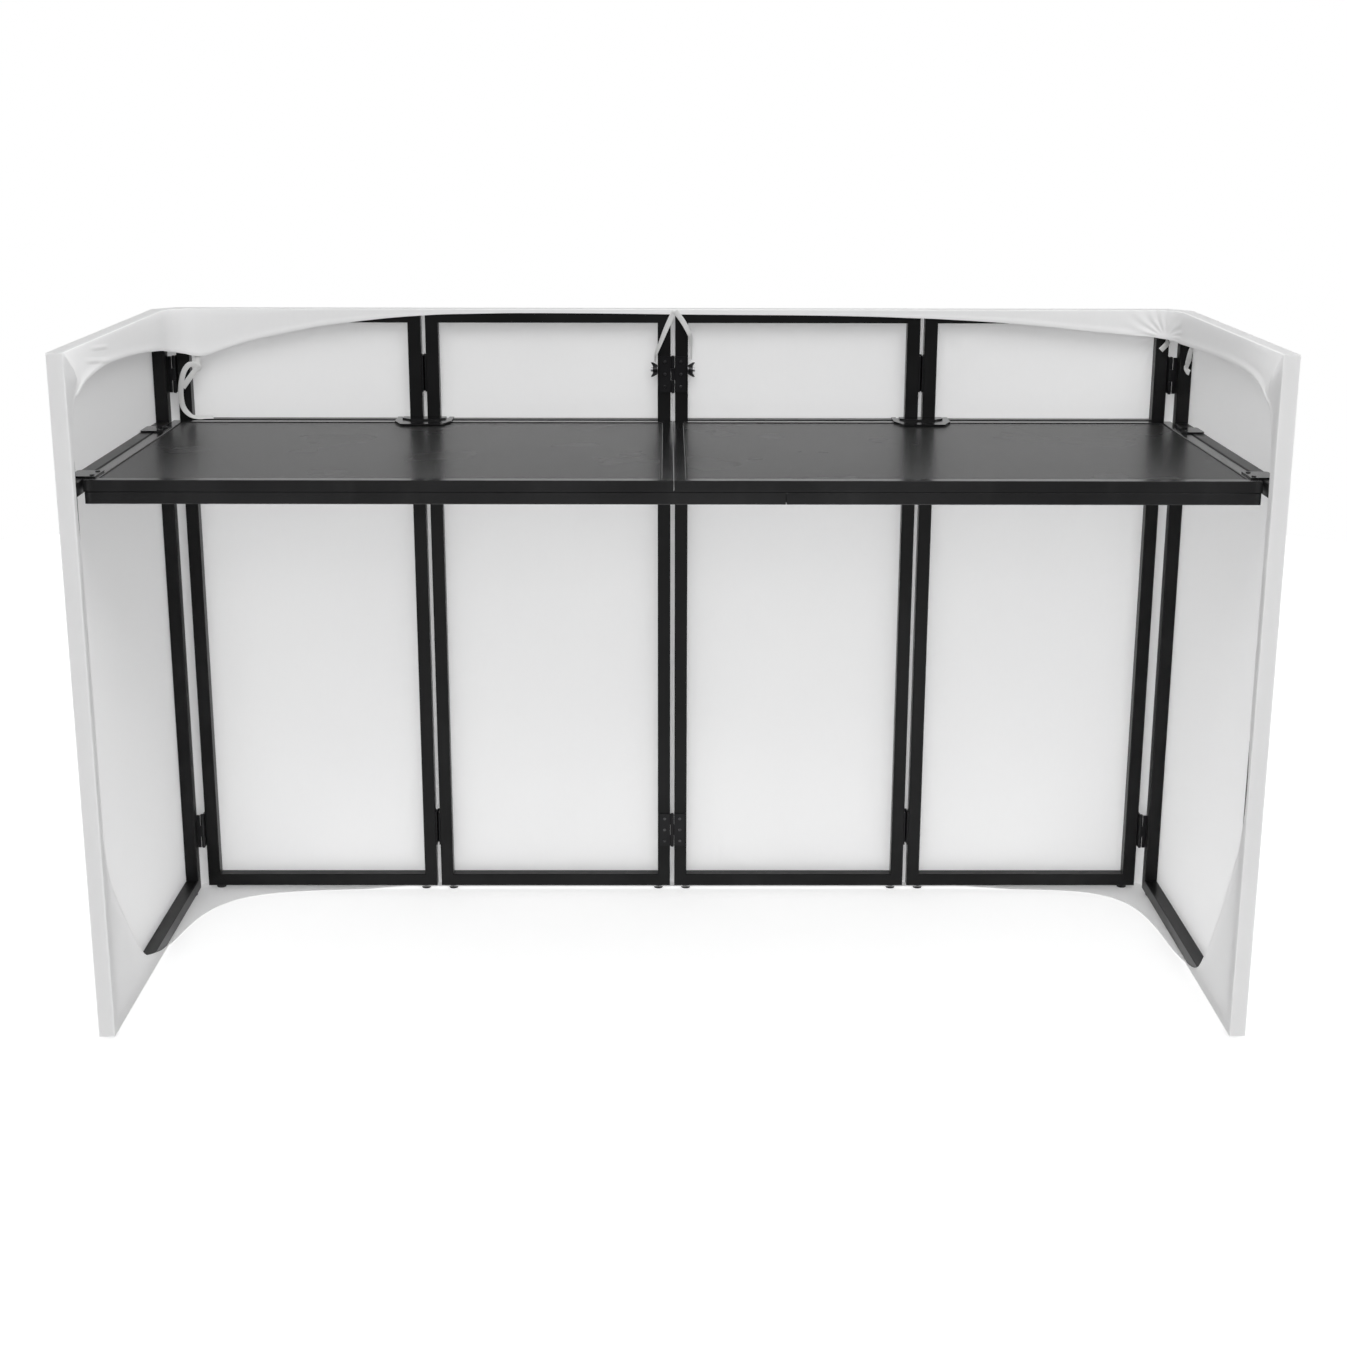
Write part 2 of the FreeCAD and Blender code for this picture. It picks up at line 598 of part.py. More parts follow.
window_width = "(Sheet.barrel_radius + Sheet.cloth_window)"
foot_clear = "(Sheet.foot_inset + Sheet.foot_radius + Sheet.cloth_window)"
under_low = "(Sheet.foot_height - Sheet.cloth_clearance - Sheet.cloth_thickness)"
under_depth = "(Sheet.tube_side + Sheet.cloth_clearance)"

center_half = f"({PITCH} - {half_seam})"
center_front = cut("center_front_sheet", box(
    "center_front_whole", (f"-{center_half}", skin_front, sheet_low),
    (f"2 * {center_half}", "Sheet.cloth_thickness", sheet_height)), group(
    "center_windows", hinge_windows("center_window_left", f"-{PITCH}", window_width)
    + hinge_windows("center_window_right", f"{PITCH} - {window_width}", window_width)))
center_top = box("center_top_lap", (f"-{center_half}", skin_inner, sheet_high),
                 (f"2 * {center_half}", lap_depth, "Sheet.cloth_thickness"))
center_hem = box("center_hem", (f"-{center_half}", skin_inner, f"{sheet_high} - Sheet.hem_middle_drop"),
                 (f"2 * {center_half}", "Sheet.cloth_thickness", "Sheet.hem_middle_drop"))
keep("center_cover", group("center_cover", [center_front, center_top, center_hem]))

wing_end = f"({END_X} + Sheet.cloth_corner)"
wing_width = f"({wing_end} - {PITCH} - {half_seam})"
wing_front = cut("wing_front_sheet", box(
    "wing_front_whole", (f"-{wing_end}", skin_front, sheet_low),
    (wing_width, "Sheet.cloth_thickness", sheet_height)), group(
    "wing_windows", hinge_windows("wing_window", f"-{PITCH} - {window_width}", window_width)))
wing_top = box("wing_top_lap", (f"-{wing_end}", skin_inner, sheet_high),
               (wing_width, lap_depth, "Sheet.cloth_thickness"))
wing_hem = plate("wing_hem", [
    ("0", "0"), ("0", "-Sheet.hem_corner_drop", "-Sheet.hem_wing_radius"),
    (wing_width, "-Sheet.hem_middle_drop"), (wing_width, "0"),
], "Sheet.cloth_thickness", "XZ_Plane")
place(wing_hem, f"-{wing_end}", f"{skin_inner} + Sheet.cloth_thickness", sheet_high)
wing_under = box("wing_under_lap", (f"-{END_X} + {foot_clear}", f"{skin_front} - {under_depth}", under_low),
                 (f"Sheet.panel_width - 2 * {foot_clear}", under_depth, "Sheet.cloth_thickness"))
both_sides("left_panel_cover", "right_panel_cover", group(
    "left_panel_cover", [wing_front, wing_top, wing_hem, wing_under]))

side_skin = f"({SIDE_OUT} + {SKIN})"
side_inner_skin = f"({SIDE_IN} - {SKIN})"
side_start = f"({SIDE_REAR} + Sheet.cloth_corner)"
side_stop = f"({SIDE_NEAR} - {SKIN})"
side_run = f"({side_start} - {side_stop})"
side_outer = box("side_outer_sheet", (f"-{side_skin}", side_stop, sheet_low),
                 ("Sheet.cloth_thickness", side_run, sheet_height))
side_top = box("side_top_lap", (f"-{side_skin}", side_stop, sheet_high),
               (f"{side_skin} - {side_inner_skin}", side_run, "Sheet.cloth_thickness"))
side_end = box("side_end_sheet", (f"-{SIDE_OUT} - Sheet.cloth_clearance", side_stop, sheet_low),
               (f"{SIDE_OUT} + Sheet.cloth_clearance - {side_inner_skin}",
                "Sheet.cloth_thickness", sheet_height))
inner_x = f"(-{side_inner_skin} - Sheet.cloth_thickness)"
return_low = f"({side_stop} + Sheet.cloth_thickness)"
flare_top = f"({sheet_low} + Sheet.flare_height)"
return_height = f"({sheet_high} - Sheet.hem_turn_drop - {flare_top})"
side_return = box("side_return", (inner_x, return_low, flare_top),
                  ("Sheet.cloth_thickness", "Sheet.return_width", return_height))
side_turn = plate("side_hem_turn", [
    ("0", "0"), ("0", "-Sheet.hem_turn_drop"),
    ("Sheet.return_width", "-Sheet.hem_turn_drop", "-Sheet.hem_turn_radius"),
    ("Sheet.hem_turn_run", "-Sheet.hem_side_drop"), ("Sheet.hem_turn_run", "0"),
], "Sheet.cloth_thickness", "YZ_Plane")
place(side_turn, inner_x, return_low, sheet_high)
hem_low = f"({return_low} + Sheet.hem_turn_run)"
hem_run = f"({side_start} - {hem_low})"
side_hem = plate("side_hem", [
    ("0", "0"), ("0", "-Sheet.hem_side_drop", "-Sheet.hem_side_radius"),
    (hem_run, "-Sheet.hem_corner_drop"), (hem_run, "0"),
], "Sheet.cloth_thickness", "YZ_Plane")
place(side_hem, inner_x, hem_low, sheet_high)
side_flare = plate("side_flare", [
    ("0", "0"), ("Sheet.flare_run", "0", "-Sheet.flare_radius"),
    ("Sheet.return_width", "Sheet.flare_height"), ("0", "Sheet.flare_height"),
], "Sheet.cloth_thickness", "YZ_Plane")
place(side_flare, inner_x, return_low, sheet_low)
side_under = box("side_under_lap",
                 (f"-{SIDE_OUT} - Sheet.cloth_clearance", f"{SIDE_NEAR} + {foot_clear}", under_low),
                 (under_depth, f"Sheet.side_length - 2 * {foot_clear}", "Sheet.cloth_thickness"))
both_sides("left_side_cover", "right_side_cover", group(
    "left_side_cover", [
        side_outer, side_top, side_end, side_return, side_turn, side_hem, side_flare, side_under]))

corner_edge_x = f"(-{wing_end} - Sheet.cloth_seam)"
corner_edge_y = f"({side_start} + Sheet.cloth_seam)"
corner_strip = plate("corner_strip", [
    (f"-{side_skin}", corner_edge_y), (f"-{side_skin} + Sheet.cloth_thickness", corner_edge_y),
    (corner_edge_x, skin_front), (corner_edge_x, f"{skin_front} + Sheet.cloth_thickness"),
], sheet_height)
place(corner_strip, z=sheet_low)
corner_top = plate("corner_top_patch", [
    (f"-{side_skin}", corner_edge_y), (corner_edge_x, corner_edge_y),
    (corner_edge_x, f"{skin_front} + Sheet.cloth_thickness"),
], "Sheet.cloth_thickness")
place(corner_top, z=sheet_high)
corner_web = plate("corner_web", [
    ("0", "-Sheet.web_side_run", "-Sheet.web_radius"), ("Sheet.web_front_run", "0"), ("0", "0"),
], "Sheet.cloth_thickness")
place(corner_web, f"-{SIDE_IN}", DJ_FACE, under_low)
both_sides("left_corner_cover", "right_corner_cover", group(
    "left_corner_cover", [corner_strip, corner_top, corner_web]))


# Tie tapes sewn to the cover's hem
def tape(name, start, stop):
    """A flat tape on the XZ plane between the middles of its ends."""
    half = "(Sheet.tie_width / 2)"
    return plate(name, [
        (f"{stop[0]} - {half}", stop[1]), (f"{stop[0]} + {half}", stop[1]),
        (f"{start[0]} + {half}", start[1]), (f"{start[0]} - {half}", start[1]),
    ], "Sheet.tie_thickness", "XZ_Plane")


tie_top = "(-Sheet.hem_middle_drop - Sheet.cloth_seam)"
tie_left = tape("tie_center_left", ("-Sheet.tie_width", tie_top), ("-Sheet.tie_spread", "-Sheet.tie_drop"))
tie_right = tape(
    "tie_center_right", ("Sheet.tie_width", tie_top), ("Sheet.tie_spread", "-Sheet.tie_drop * 0.7"))
keep("center_tie", group(
    "center_tie", [tie_left, tie_right], 0, f"{DJ_FACE} - Sheet.cloth_clearance", sheet_high))
tie_hang = box("tie_hang", (0, "-Sheet.tie_thickness", "-Sheet.tie_corner_length"),
               ("Sheet.tie_width", "Sheet.tie_thickness", "Sheet.tie_corner_length"))
both_sides("left_corner_tie", "right_corner_tie", group(
    "left_corner_tie", [tie_hang], f"-{END_X} + Sheet.tube_side / 2",
    f"{skin_inner} - Sheet.cloth_clearance", f"{sheet_high} - Sheet.tie_width"))

# Check every object and every sub-part, then write them
doc.recompute()
for thing in doc.Objects:
    if "Invalid" in thing.State or "Error" in thing.State:
        raise RuntimeError(f"{thing.Name} failed: {thing.State}")
os.makedirs("parts", exist_ok=True)
for name, thing in exported.items():
    shape = thing.Shape
    if shape.isNull() or not shape.isValid() or not shape.Solids:
        raise RuntimeError(f"{name} has no valid shape")
    shape.exportStep(f"parts/{name}.step")
print(len(exported), "sub-parts,", sum(len(t.Shape.Solids) for t in exported.values()), "solids")
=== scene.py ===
"""Folding DJ booth: the looks of its frames, table, stretch cover, ties and small hardware."""
import json
import logging
import math
from dataclasses import dataclass, field
from enum import Enum
from typing import Any, Callable, Sequence

import bpy
import numpy as np
from mathutils import Matrix, Vector


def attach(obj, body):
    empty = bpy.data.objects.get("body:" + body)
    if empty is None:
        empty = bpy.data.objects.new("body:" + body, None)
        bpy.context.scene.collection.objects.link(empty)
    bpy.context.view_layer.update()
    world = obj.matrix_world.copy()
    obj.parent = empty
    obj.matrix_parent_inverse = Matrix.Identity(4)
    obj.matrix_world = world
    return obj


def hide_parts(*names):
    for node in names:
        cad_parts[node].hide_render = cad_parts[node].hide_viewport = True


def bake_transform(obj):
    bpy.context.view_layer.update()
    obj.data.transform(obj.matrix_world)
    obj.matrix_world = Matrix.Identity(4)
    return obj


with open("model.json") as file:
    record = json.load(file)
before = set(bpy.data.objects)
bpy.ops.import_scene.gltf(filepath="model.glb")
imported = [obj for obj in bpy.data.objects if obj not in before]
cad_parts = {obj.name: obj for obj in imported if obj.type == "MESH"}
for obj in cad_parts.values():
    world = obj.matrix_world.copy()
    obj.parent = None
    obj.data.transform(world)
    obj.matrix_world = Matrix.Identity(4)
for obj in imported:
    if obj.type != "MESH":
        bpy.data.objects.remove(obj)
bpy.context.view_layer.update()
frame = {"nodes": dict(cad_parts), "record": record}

log = logging.getLogger("dj_booth")
Point = tuple[float, float, float]
Colour = tuple[float, float, float]
Plan = tuple[float, float]

# Places on the CAD frame, in metres. The cover and the ties count Y from the frames' DJ-side faces.
DJ_FACE = 0.3451
TUBE = 0.025
FRAME_TOP = 1.197
PITCH = 0.485
END_X = 0.9655
SIDE_IN = 0.9785
SIDE_OUT = 1.0035
HINGE_HEIGHTS = (1.073, 0.132)
NEAR = 1e-6


class Side(Enum):
    """The DJ's left or right, by the sign of X."""

    LEFT = -1
    RIGHT = 1

    @property
    def word(self) -> str:
        """The side's word in node names."""
        return self.name.lower()


class Wire:
    """A shader socket that takes part in Python arithmetic."""

    def __init__(self, paint: "Paint", socket: Any) -> None:
        """Keep a socket and the paint it belongs to."""
        self.paint = paint
        self.socket = socket

    def math(self, operation: str, *others: Any) -> "Wire":
        """Add a Math node.

        Args:
            operation: The Math node's operation.
            *others: The values or wires of its further inputs.

        Returns:
            The node's result.
        """
        inputs = {index: value for index, value in enumerate((self, *others))}
        return self.paint.node("ShaderNodeMath", {"operation": operation}, inputs)

    def __add__(self, other: Any) -> "Wire":
        """The sum."""
        return self.math("ADD", other)

    def __mul__(self, other: Any) -> "Wire":
        """The product."""
        return self.math("MULTIPLY", other)

    def __sub__(self, other: Any) -> "Wire":
        """The difference."""
        return self.math("SUBTRACT", other)

    def __rsub__(self, other: Any) -> "Wire":
        """The difference from a number."""
        return self.paint.node("ShaderNodeMath", {"operation": "SUBTRACT"}, {0: other, 1: self})

    def __truediv__(self, other: Any) -> "Wire":
        """The quotient."""
        return self.math("DIVIDE", other)

    __radd__ = __add__
    __rmul__ = __mul__

    def between(self, low: float, high: float) -> "Wire":
        """A smooth step of this value.

        Args:
            low: The value that gives 0.
            high: The value that gives 1.

        Returns:
            The step, from 0 to 1.
        """
        return self.paint.node(
            "ShaderNodeMapRange", {"interpolation_type": "SMOOTHSTEP"},
            {"Value": self, "From Min": low, "From Max": high})


class Paint:
    """One material and its nodes."""

    def __init__(self, name: str) -> None:
        """Start a material with a Principled shader and Object coordinates.

        Args:
            name: The material's name.
        """
        self.material = bpy.data.materials.new(name)
        self.material.use_nodes = True
        self.tree = self.material.node_tree
        self.tree.nodes.clear()
        self.output = self.tree.nodes.new("ShaderNodeOutputMaterial")
        self.shader = self.tree.nodes.new("ShaderNodeBsdfPrincipled")
        self.tree.links.new(self.shader.outputs["BSDF"], self.output.inputs["Surface"])
        self.place = self.node("ShaderNodeTexCoord", {}, {}, "Object")

    def node(self, kind: str, settings: dict[str, Any], inputs: dict[Any, Any], output: Any = 0) -> Wire:
        """Add one node.

        Args:
            kind: The node's type.
            settings: Its properties, set first.
            inputs: Values or wires by socket name or number.
            output: The name or number of the socket to return.

        Returns:
            That output.
        """
        made = self.tree.nodes.new(kind)
        for key, value in settings.items():
            setattr(made, key, value)
        for key, value in inputs.items():
            self.feed(made.inputs[key], value)
        return Wire(self, made.outputs[output])

    def feed(self, socket: bpy.types.NodeSocket, value: Any) -> None:
        """Link a wire to a socket, or give the socket a value.

        Args:
            socket: The socket.
            value: The wire or the value.
        """
        if isinstance(value, Wire):
            self.tree.links.new(value.socket, socket)
        else:
            socket.default_value = value

    def axes(self) -> tuple[Wire, Wire, Wire]:
        """The Object coordinates as three values."""
        split = self.node("ShaderNodeSeparateXYZ", {}, {0: self.place}).socket.node
        return tuple(Wire(self, out) for out in split.outputs)

    def noise(self, scale: float, detail: float = 2.0, stretch: Point = (1.0, 1.0, 1.0)) -> Wire:
        """Noise over the Object coordinates.

        Args:
            scale: The noise's scale, per metre.
            detail: Its octaves.
            stretch: A factor for each axis.

        Returns:
            The noise value, about 0 to 1.
        """
        where = self.node("ShaderNodeMapping", {}, {"Vector": self.place, "Scale": stretch})
        return self.node("ShaderNodeTexNoise", {}, {"Vector": where, "Scale": scale, "Detail": detail})

    def mix(self, share: Wire, low: Sequence[float], high: Sequence[float]) -> Wire:
        """A colour between two.

        Args:
            share: How much of the second colour there is.
            low: The first colour.
            high: The second colour.

        Returns:
            The mixed colour.
        """
        return self.node(
            "ShaderNodeMix", {"data_type": "RGBA"},
            {"Factor": share, 6: (*low, 1.0), 7: (*high, 1.0)}, 2)

    def bump(self, height: Wire, strength: float, distance: float) -> None:
        """Feed a height to the shader's Normal, over any bump that is there already.

        Args:
            height: The height, from 0 to 1.
            strength: How strongly it shows.
            distance: What a height of 1 stands for, in metres.
        """
        inputs = {"Height": height, "Strength": strength, "Distance": distance}
        for link in self.shader.inputs["Normal"].links:
            inputs["Normal"] = Wire(self, link.from_socket)
        normal = self.node("ShaderNodeBump", {}, inputs)
        self.tree.links.new(normal.socket, self.shader.inputs["Normal"])

    def glow(self, share: Wire, colour: Sequence[float]) -> None:
        """Let a share of the light pass through the surface.

        Args:
            share: How much passes.
            colour: The colour it takes on.
        """
        through = self.node("ShaderNodeBsdfTranslucent", {}, {"Color": (*colour, 1.0)})
        both = self.node("ShaderNodeMixShader", {}, {
            0: share, 1: Wire(self, self.shader.outputs["BSDF"]), 2: through})
        self.tree.links.new(both.socket, self.output.inputs["Surface"])

    def set(self, **sockets: Any) -> None:
        """Give the shader's sockets values or wires; an underscore stands for a space."""
        for name, value in sockets.items():
            self.feed(self.shader.inputs[name.replace("_", " ")], value)


class Sky(Paint):
    """The surroundings' nodes."""

    def __init__(self, world: bpy.types.World) -> None:
        """Start from a world's own Background node.

        Args:
            world: The world.
        """
        world.use_nodes = True
        self.tree = world.node_tree
        self.shader = self.tree.nodes["Background"]
        self.place = self.node("ShaderNodeTexCoord", {}, {}, "Generated")


@dataclass(frozen=True)
class PowderCoat:
    """A sprayed and baked coat on steel, with its fine orange peel."""

    name: str
    dark: Colour
    light: Colour
    gloss: float
    mirror: float
    peel: float

    def make(self) -> bpy.types.Material:
        """Build the material.

        Returns:
            The material.
        """
        paint = Paint(self.name)
        cloud = paint.noise(7.0, 4.0)
        peel = paint.noise(420.0, 2.0)
        rub = paint.noise(26.0, 6.0, (1.0, 1.0, 0.35))
        rough = cloud * 0.04 + rub.between(0.55, 0.85) * 0.06 + self.gloss
        paint.set(
            Base_Color=paint.mix(cloud.between(0.3, 0.7), self.dark, self.light),
            Roughness=rough, Specular_IOR_Level=self.mirror)
        paint.bump(peel, self.peel, 0.0004)
        return paint.material


@dataclass(frozen=True)
class PerforatedSheet:
    """Black sheet steel with staggered rows of small round holes.

    The sheet reaches from inner to outer in X and Y. joint is where the painted shade of the gap along its
    edges ends and the coat begins, and lip is the same round a hole, in shares of its diameter; the holes and
    that edge band are painted near-black as painted shade.
    """

    name: str
    pitch: float
    hole: float
    steel: Colour
    inner: Plan = (0.0205, -0.3069)
    outer: Plan = (0.9545, 0.3101)
    joint: Plan = (0.0015, 0.0035)
    lip: Plan = (0.42, 0.56)

    def rim(self, paint: Paint) -> Wire:
        """The sheet without the painted shade of the gap along its edges.

        Args:
            paint: The sheet's material.

        Returns:
            1 over the sheet and 0 in the painted gap shade.
        """
        x, y, _ = paint.axes()
        wide = x.math("ABSOLUTE")
        gaps = (wide - self.inner[0], self.outer[0] - wide, y - self.inner[1], self.outer[1] - y)
        near = gaps[0].math("MINIMUM", gaps[1]).math("MINIMUM", gaps[2].math("MINIMUM", gaps[3]))
        return near.between(*self.joint)

    def rows(self, paint: Paint, shift: float) -> Wire:
        """How far the nearest hole of one of the two staggered sets is.

        Args:
            paint: The sheet's material.
            shift: Where the set lies in its cell.

        Returns:
            The distance to the hole's middle, in metres.
        """
        x, y, _ = paint.axes()
        cells = []
        for axis, step in ((x, self.pitch), (y, self.pitch * math.sqrt(3.0))):
            cell = (axis / step + shift).math("FRACT") - 0.5
            cells.append(cell * step)
        return (cells[0] * cells[0] + cells[1] * cells[1]).math("SQRT")

    def make(self) -> bpy.types.Material:
        """Build the material.

        Returns:
            The material.
        """
        paint = Paint(self.name)
        near = self.rows(paint, 0.0).math("MINIMUM", self.rows(paint, 0.5))
        land = near.between(*(self.hole * share for share in self.lip)) * self.rim(paint)
        cloud = paint.noise(5.0, 4.0)
        coat = 0.262 + cloud * 0.02
        # Painted shade: the holes take a near-black colour for the dark space seen through them, and the band
        # along the sheet's edges takes it for the shade in the gap to the rails.
        paint.set(
            Base_Color=paint.mix(land, (0.002, 0.002, 0.002), self.steel),
            Roughness=coat * land + (1.0 - land) * 0.85, Specular_IOR_Level=0.6)
        paint.bump(land, 0.05, 0.0005)
        return paint.material


@dataclass(frozen=True)
class PlatedSteel:
    """Zinc-plated or blackened steel with fine drawn lines."""

    name: str
    dull: Colour
    bright: Colour
    roughness: float

    def make(self) -> bpy.types.Material:
        """Build the material.

        Returns:
            The material.
        """
        paint = Paint(self.name)
        cloud = paint.noise(90.0, 3.0)
        lines = paint.noise(300.0, 2.0, (1.0, 1.0, 8.0))
        paint.set(
            Base_Color=paint.mix(cloud.between(0.35, 0.7), self.dull, self.bright),
            Roughness=cloud * 0.16 + self.roughness, Metallic=1.0)
        paint.bump(lines, 0.12, 0.0002)
        return paint.material


@dataclass(frozen=True)
class Rubber:
    """Matte black rubber with a little dust."""

    name: str

    def make(self) -> bpy.types.Material:
        """Build the material.

        Returns:
            The material.
        """
        paint = Paint(self.name)
        dust = paint.noise(160.0, 5.0)
        paint.set(
            Base_Color=paint.mix(dust.between(0.55, 0.8), (0.012, 0.012, 0.012), (0.04, 0.039, 0.037)),
            Roughness=dust * 0.2 + 0.62)
        paint.bump(dust, 0.2, 0.0003)
        return paint.material


@dataclass(frozen=True)
class Crease:
    """A soft fold in the lap inside one side.

    It runs from start to stop, in Y and Z. Side is the sign of X, width is half the fold's width, and the lap
    lies between starts and ends in X.
    """

    side: float
    start: Plan
    stop: Plan
    width: float
    depth: float
    starts: Plan = (0.93, 0.94)
    ends: Plan = (0.985, 0.990)

    def height(self, paint: Paint) -> Wire:
        """How far the fold stands up.

        Args:
            paint: The cloth's material.

        Returns:
            The height, from 0 to 1.
        """
        x, y, z = paint.axes()
        run, rise = self.stop[0] - self.start[0], self.stop[1] - self.start[1]
        long = math.hypot(run, rise)
        ahead, up = y - self.start[0], z - self.start[1]
        along = (ahead * run + up * rise) / long ** 2
        off = (up * run - ahead * rise) / (long * self.width)
        there = (x * self.side).between(*self.starts) * (1.0 - (x * self.side).between(*self.ends))
        fade = 1.0 - (along - 0.5).math("ABSOLUTE").between(0.15, 0.5)
        return (1.0 - off.math("ABSOLUTE").between(0.0, 1.0)) * fade * there


@dataclass(frozen=True)
class Cloth:
    """White cloth of crossing rows: knitted stretch cloth or woven tape.

    Rows is the distance between its rows, sheer the share of light that passes through it, and doubled that
    share where it is turned in. A gather is given by its X, its height and its reach.
    """

    name: str
    shade: Colour
    white: Colour
    rows: float
    relief: float
    sheer: float
    doubled: float
    gathers: tuple[Point, ...] = ()
    creases: tuple[Crease, ...] = ()

    @staticmethod
    def gather(paint: Paint, x: float, z: float, reach: float) -> Wire:
        """Fine folds that run out from one point of the front.

        Args:
            paint: The cloth's material.
            x: The point's X.
            z: Its height.
            reach: How far the folds go.

        Returns:
            Their height, from 0 to 1.
        """
        east, deep, high = paint.axes()
        run, rise = east - x, high - z
        away = (run * run + rise * rise).math("SQRT")
        angle = rise.math("ARCTAN2", run)
        folds = (angle * 17.0 + paint.noise(9.0) * 9.0).math("SINE") * 0.5 + 0.5
        near = away.between(0.008, 0.03) * (1.0 - away.between(0.3 * reach, reach))
        return folds * near * deep.between(0.27, 0.305)

    def make(self) -> bpy.types.Material:
        """Build the material.

        Returns:
            The material.
        """
        paint = Paint(self.name)
        x, y, z = paint.axes()
        turn = 2.0 * math.pi / self.rows
        wale = ((x + y) * turn).math("SINE")
        course = (z * turn * 0.8 + (x + y) * turn * 0.5).math("SINE")
        knit = wale * course * 0.5 + 0.5
        cloud = paint.noise(3.0, 5.0)
        slub = paint.noise(140.0, 3.0, (1.0, 1.0, 0.25))
        tone = cloud * 0.6 + slub * 0.25 + knit * 0.15
        paint.set(
            Base_Color=paint.mix(tone.between(0.2, 0.75), self.shade, self.white),
            Roughness=slub * 0.08 + 0.82, Specular_IOR_Level=0.25,
            Sheen_Weight=0.18, Sheen_Roughness=0.5)
        paint.bump(knit * 0.7 + slub * 0.3, self.relief, 0.0003)
        for place in self.gathers:
            paint.bump(self.gather(paint, *place), 1.0, 0.0011)
        for crease in self.creases:
            paint.bump(crease.height(paint), 1.0, crease.depth)
        inside = paint.node("ShaderNodeAttribute", {"attribute_name": "turned_in"}, {}, "Fac")
        paint.glow(inside * (self.doubled - self.sheer) + self.sheer, self.white)
        return paint.material


@dataclass(frozen=True)
class Ground:
    """The plain pale floor."""

    name: str

    def make(self) -> bpy.types.Material:
        """Build the material.

        Returns:
            The material.
        """
        paint = Paint(self.name)
        cloud = paint.noise(0.6, 2.0)
        paint.set(
            Base_Color=paint.mix(cloud, (0.49, 0.49, 0.49), (0.51, 0.51, 0.51)), Roughness=0.9,
            Specular_IOR_Level=0.1, Emission_Color=(1.0, 1.0, 1.0, 1.0), Emission_Strength=0.66)
        return paint.material


FINISHES = {
    "frame_black": PowderCoat(
        "satin_powder_coat", dark=(0.008, 0.008, 0.0082), light=(0.013, 0.013, 0.0134),
        gloss=0.28, mirror=0.14, peel=0.08),
    "table_black": PowderCoat(
        "table_powder_coat", dark=(0.005, 0.005, 0.0053), light=(0.010, 0.010, 0.0105),
        gloss=0.16, mirror=0.50, peel=0.08),
    "table_sheet": PerforatedSheet(
        "perforated_table_sheet", pitch=0.0048, hole=0.0029, steel=(0.007, 0.007, 0.0075)),
    "hinge_black": PowderCoat(
        "hinge_black_oxide", dark=(0.008, 0.008, 0.009), light=(0.016, 0.016, 0.017),
        gloss=0.34, mirror=0.20, peel=0.06),
    "zinc_steel": PlatedSteel(
        "zinc_plated_steel", dull=(0.42, 0.42, 0.44), bright=(0.62, 0.62, 0.64), roughness=0.24),
    "black_hardware": PlatedSteel(
        "blackened_steel", dull=(0.05, 0.05, 0.052), bright=(0.13, 0.13, 0.135), roughness=0.30),
    "foot_rubber": Rubber("black_foot_rubber"),
    "white_stretch_cloth": Cloth(
        "white_knitted_cloth", shade=(0.92, 0.92, 0.925), white=(0.97, 0.97, 0.97),
        rows=0.0014, relief=0.18, sheer=0.45, doubled=0.06, gathers=((0.952, 1.146, 0.12),),
        creases=(Crease(-1.0, (-0.276, 1.173), (-0.095, 1.153), 0.007, 0.0016),
                 Crease(-1.0, (-0.232, 1.188), (-0.095, 1.177), 0.006, 0.0012))),
    "white_tape": Cloth(
        "white_woven_tape", shade=(0.80, 0.80, 0.80), white=(0.88, 0.88, 0.87),
        rows=0.0011, relief=0.45, sheer=0.2, doubled=0.2),
}


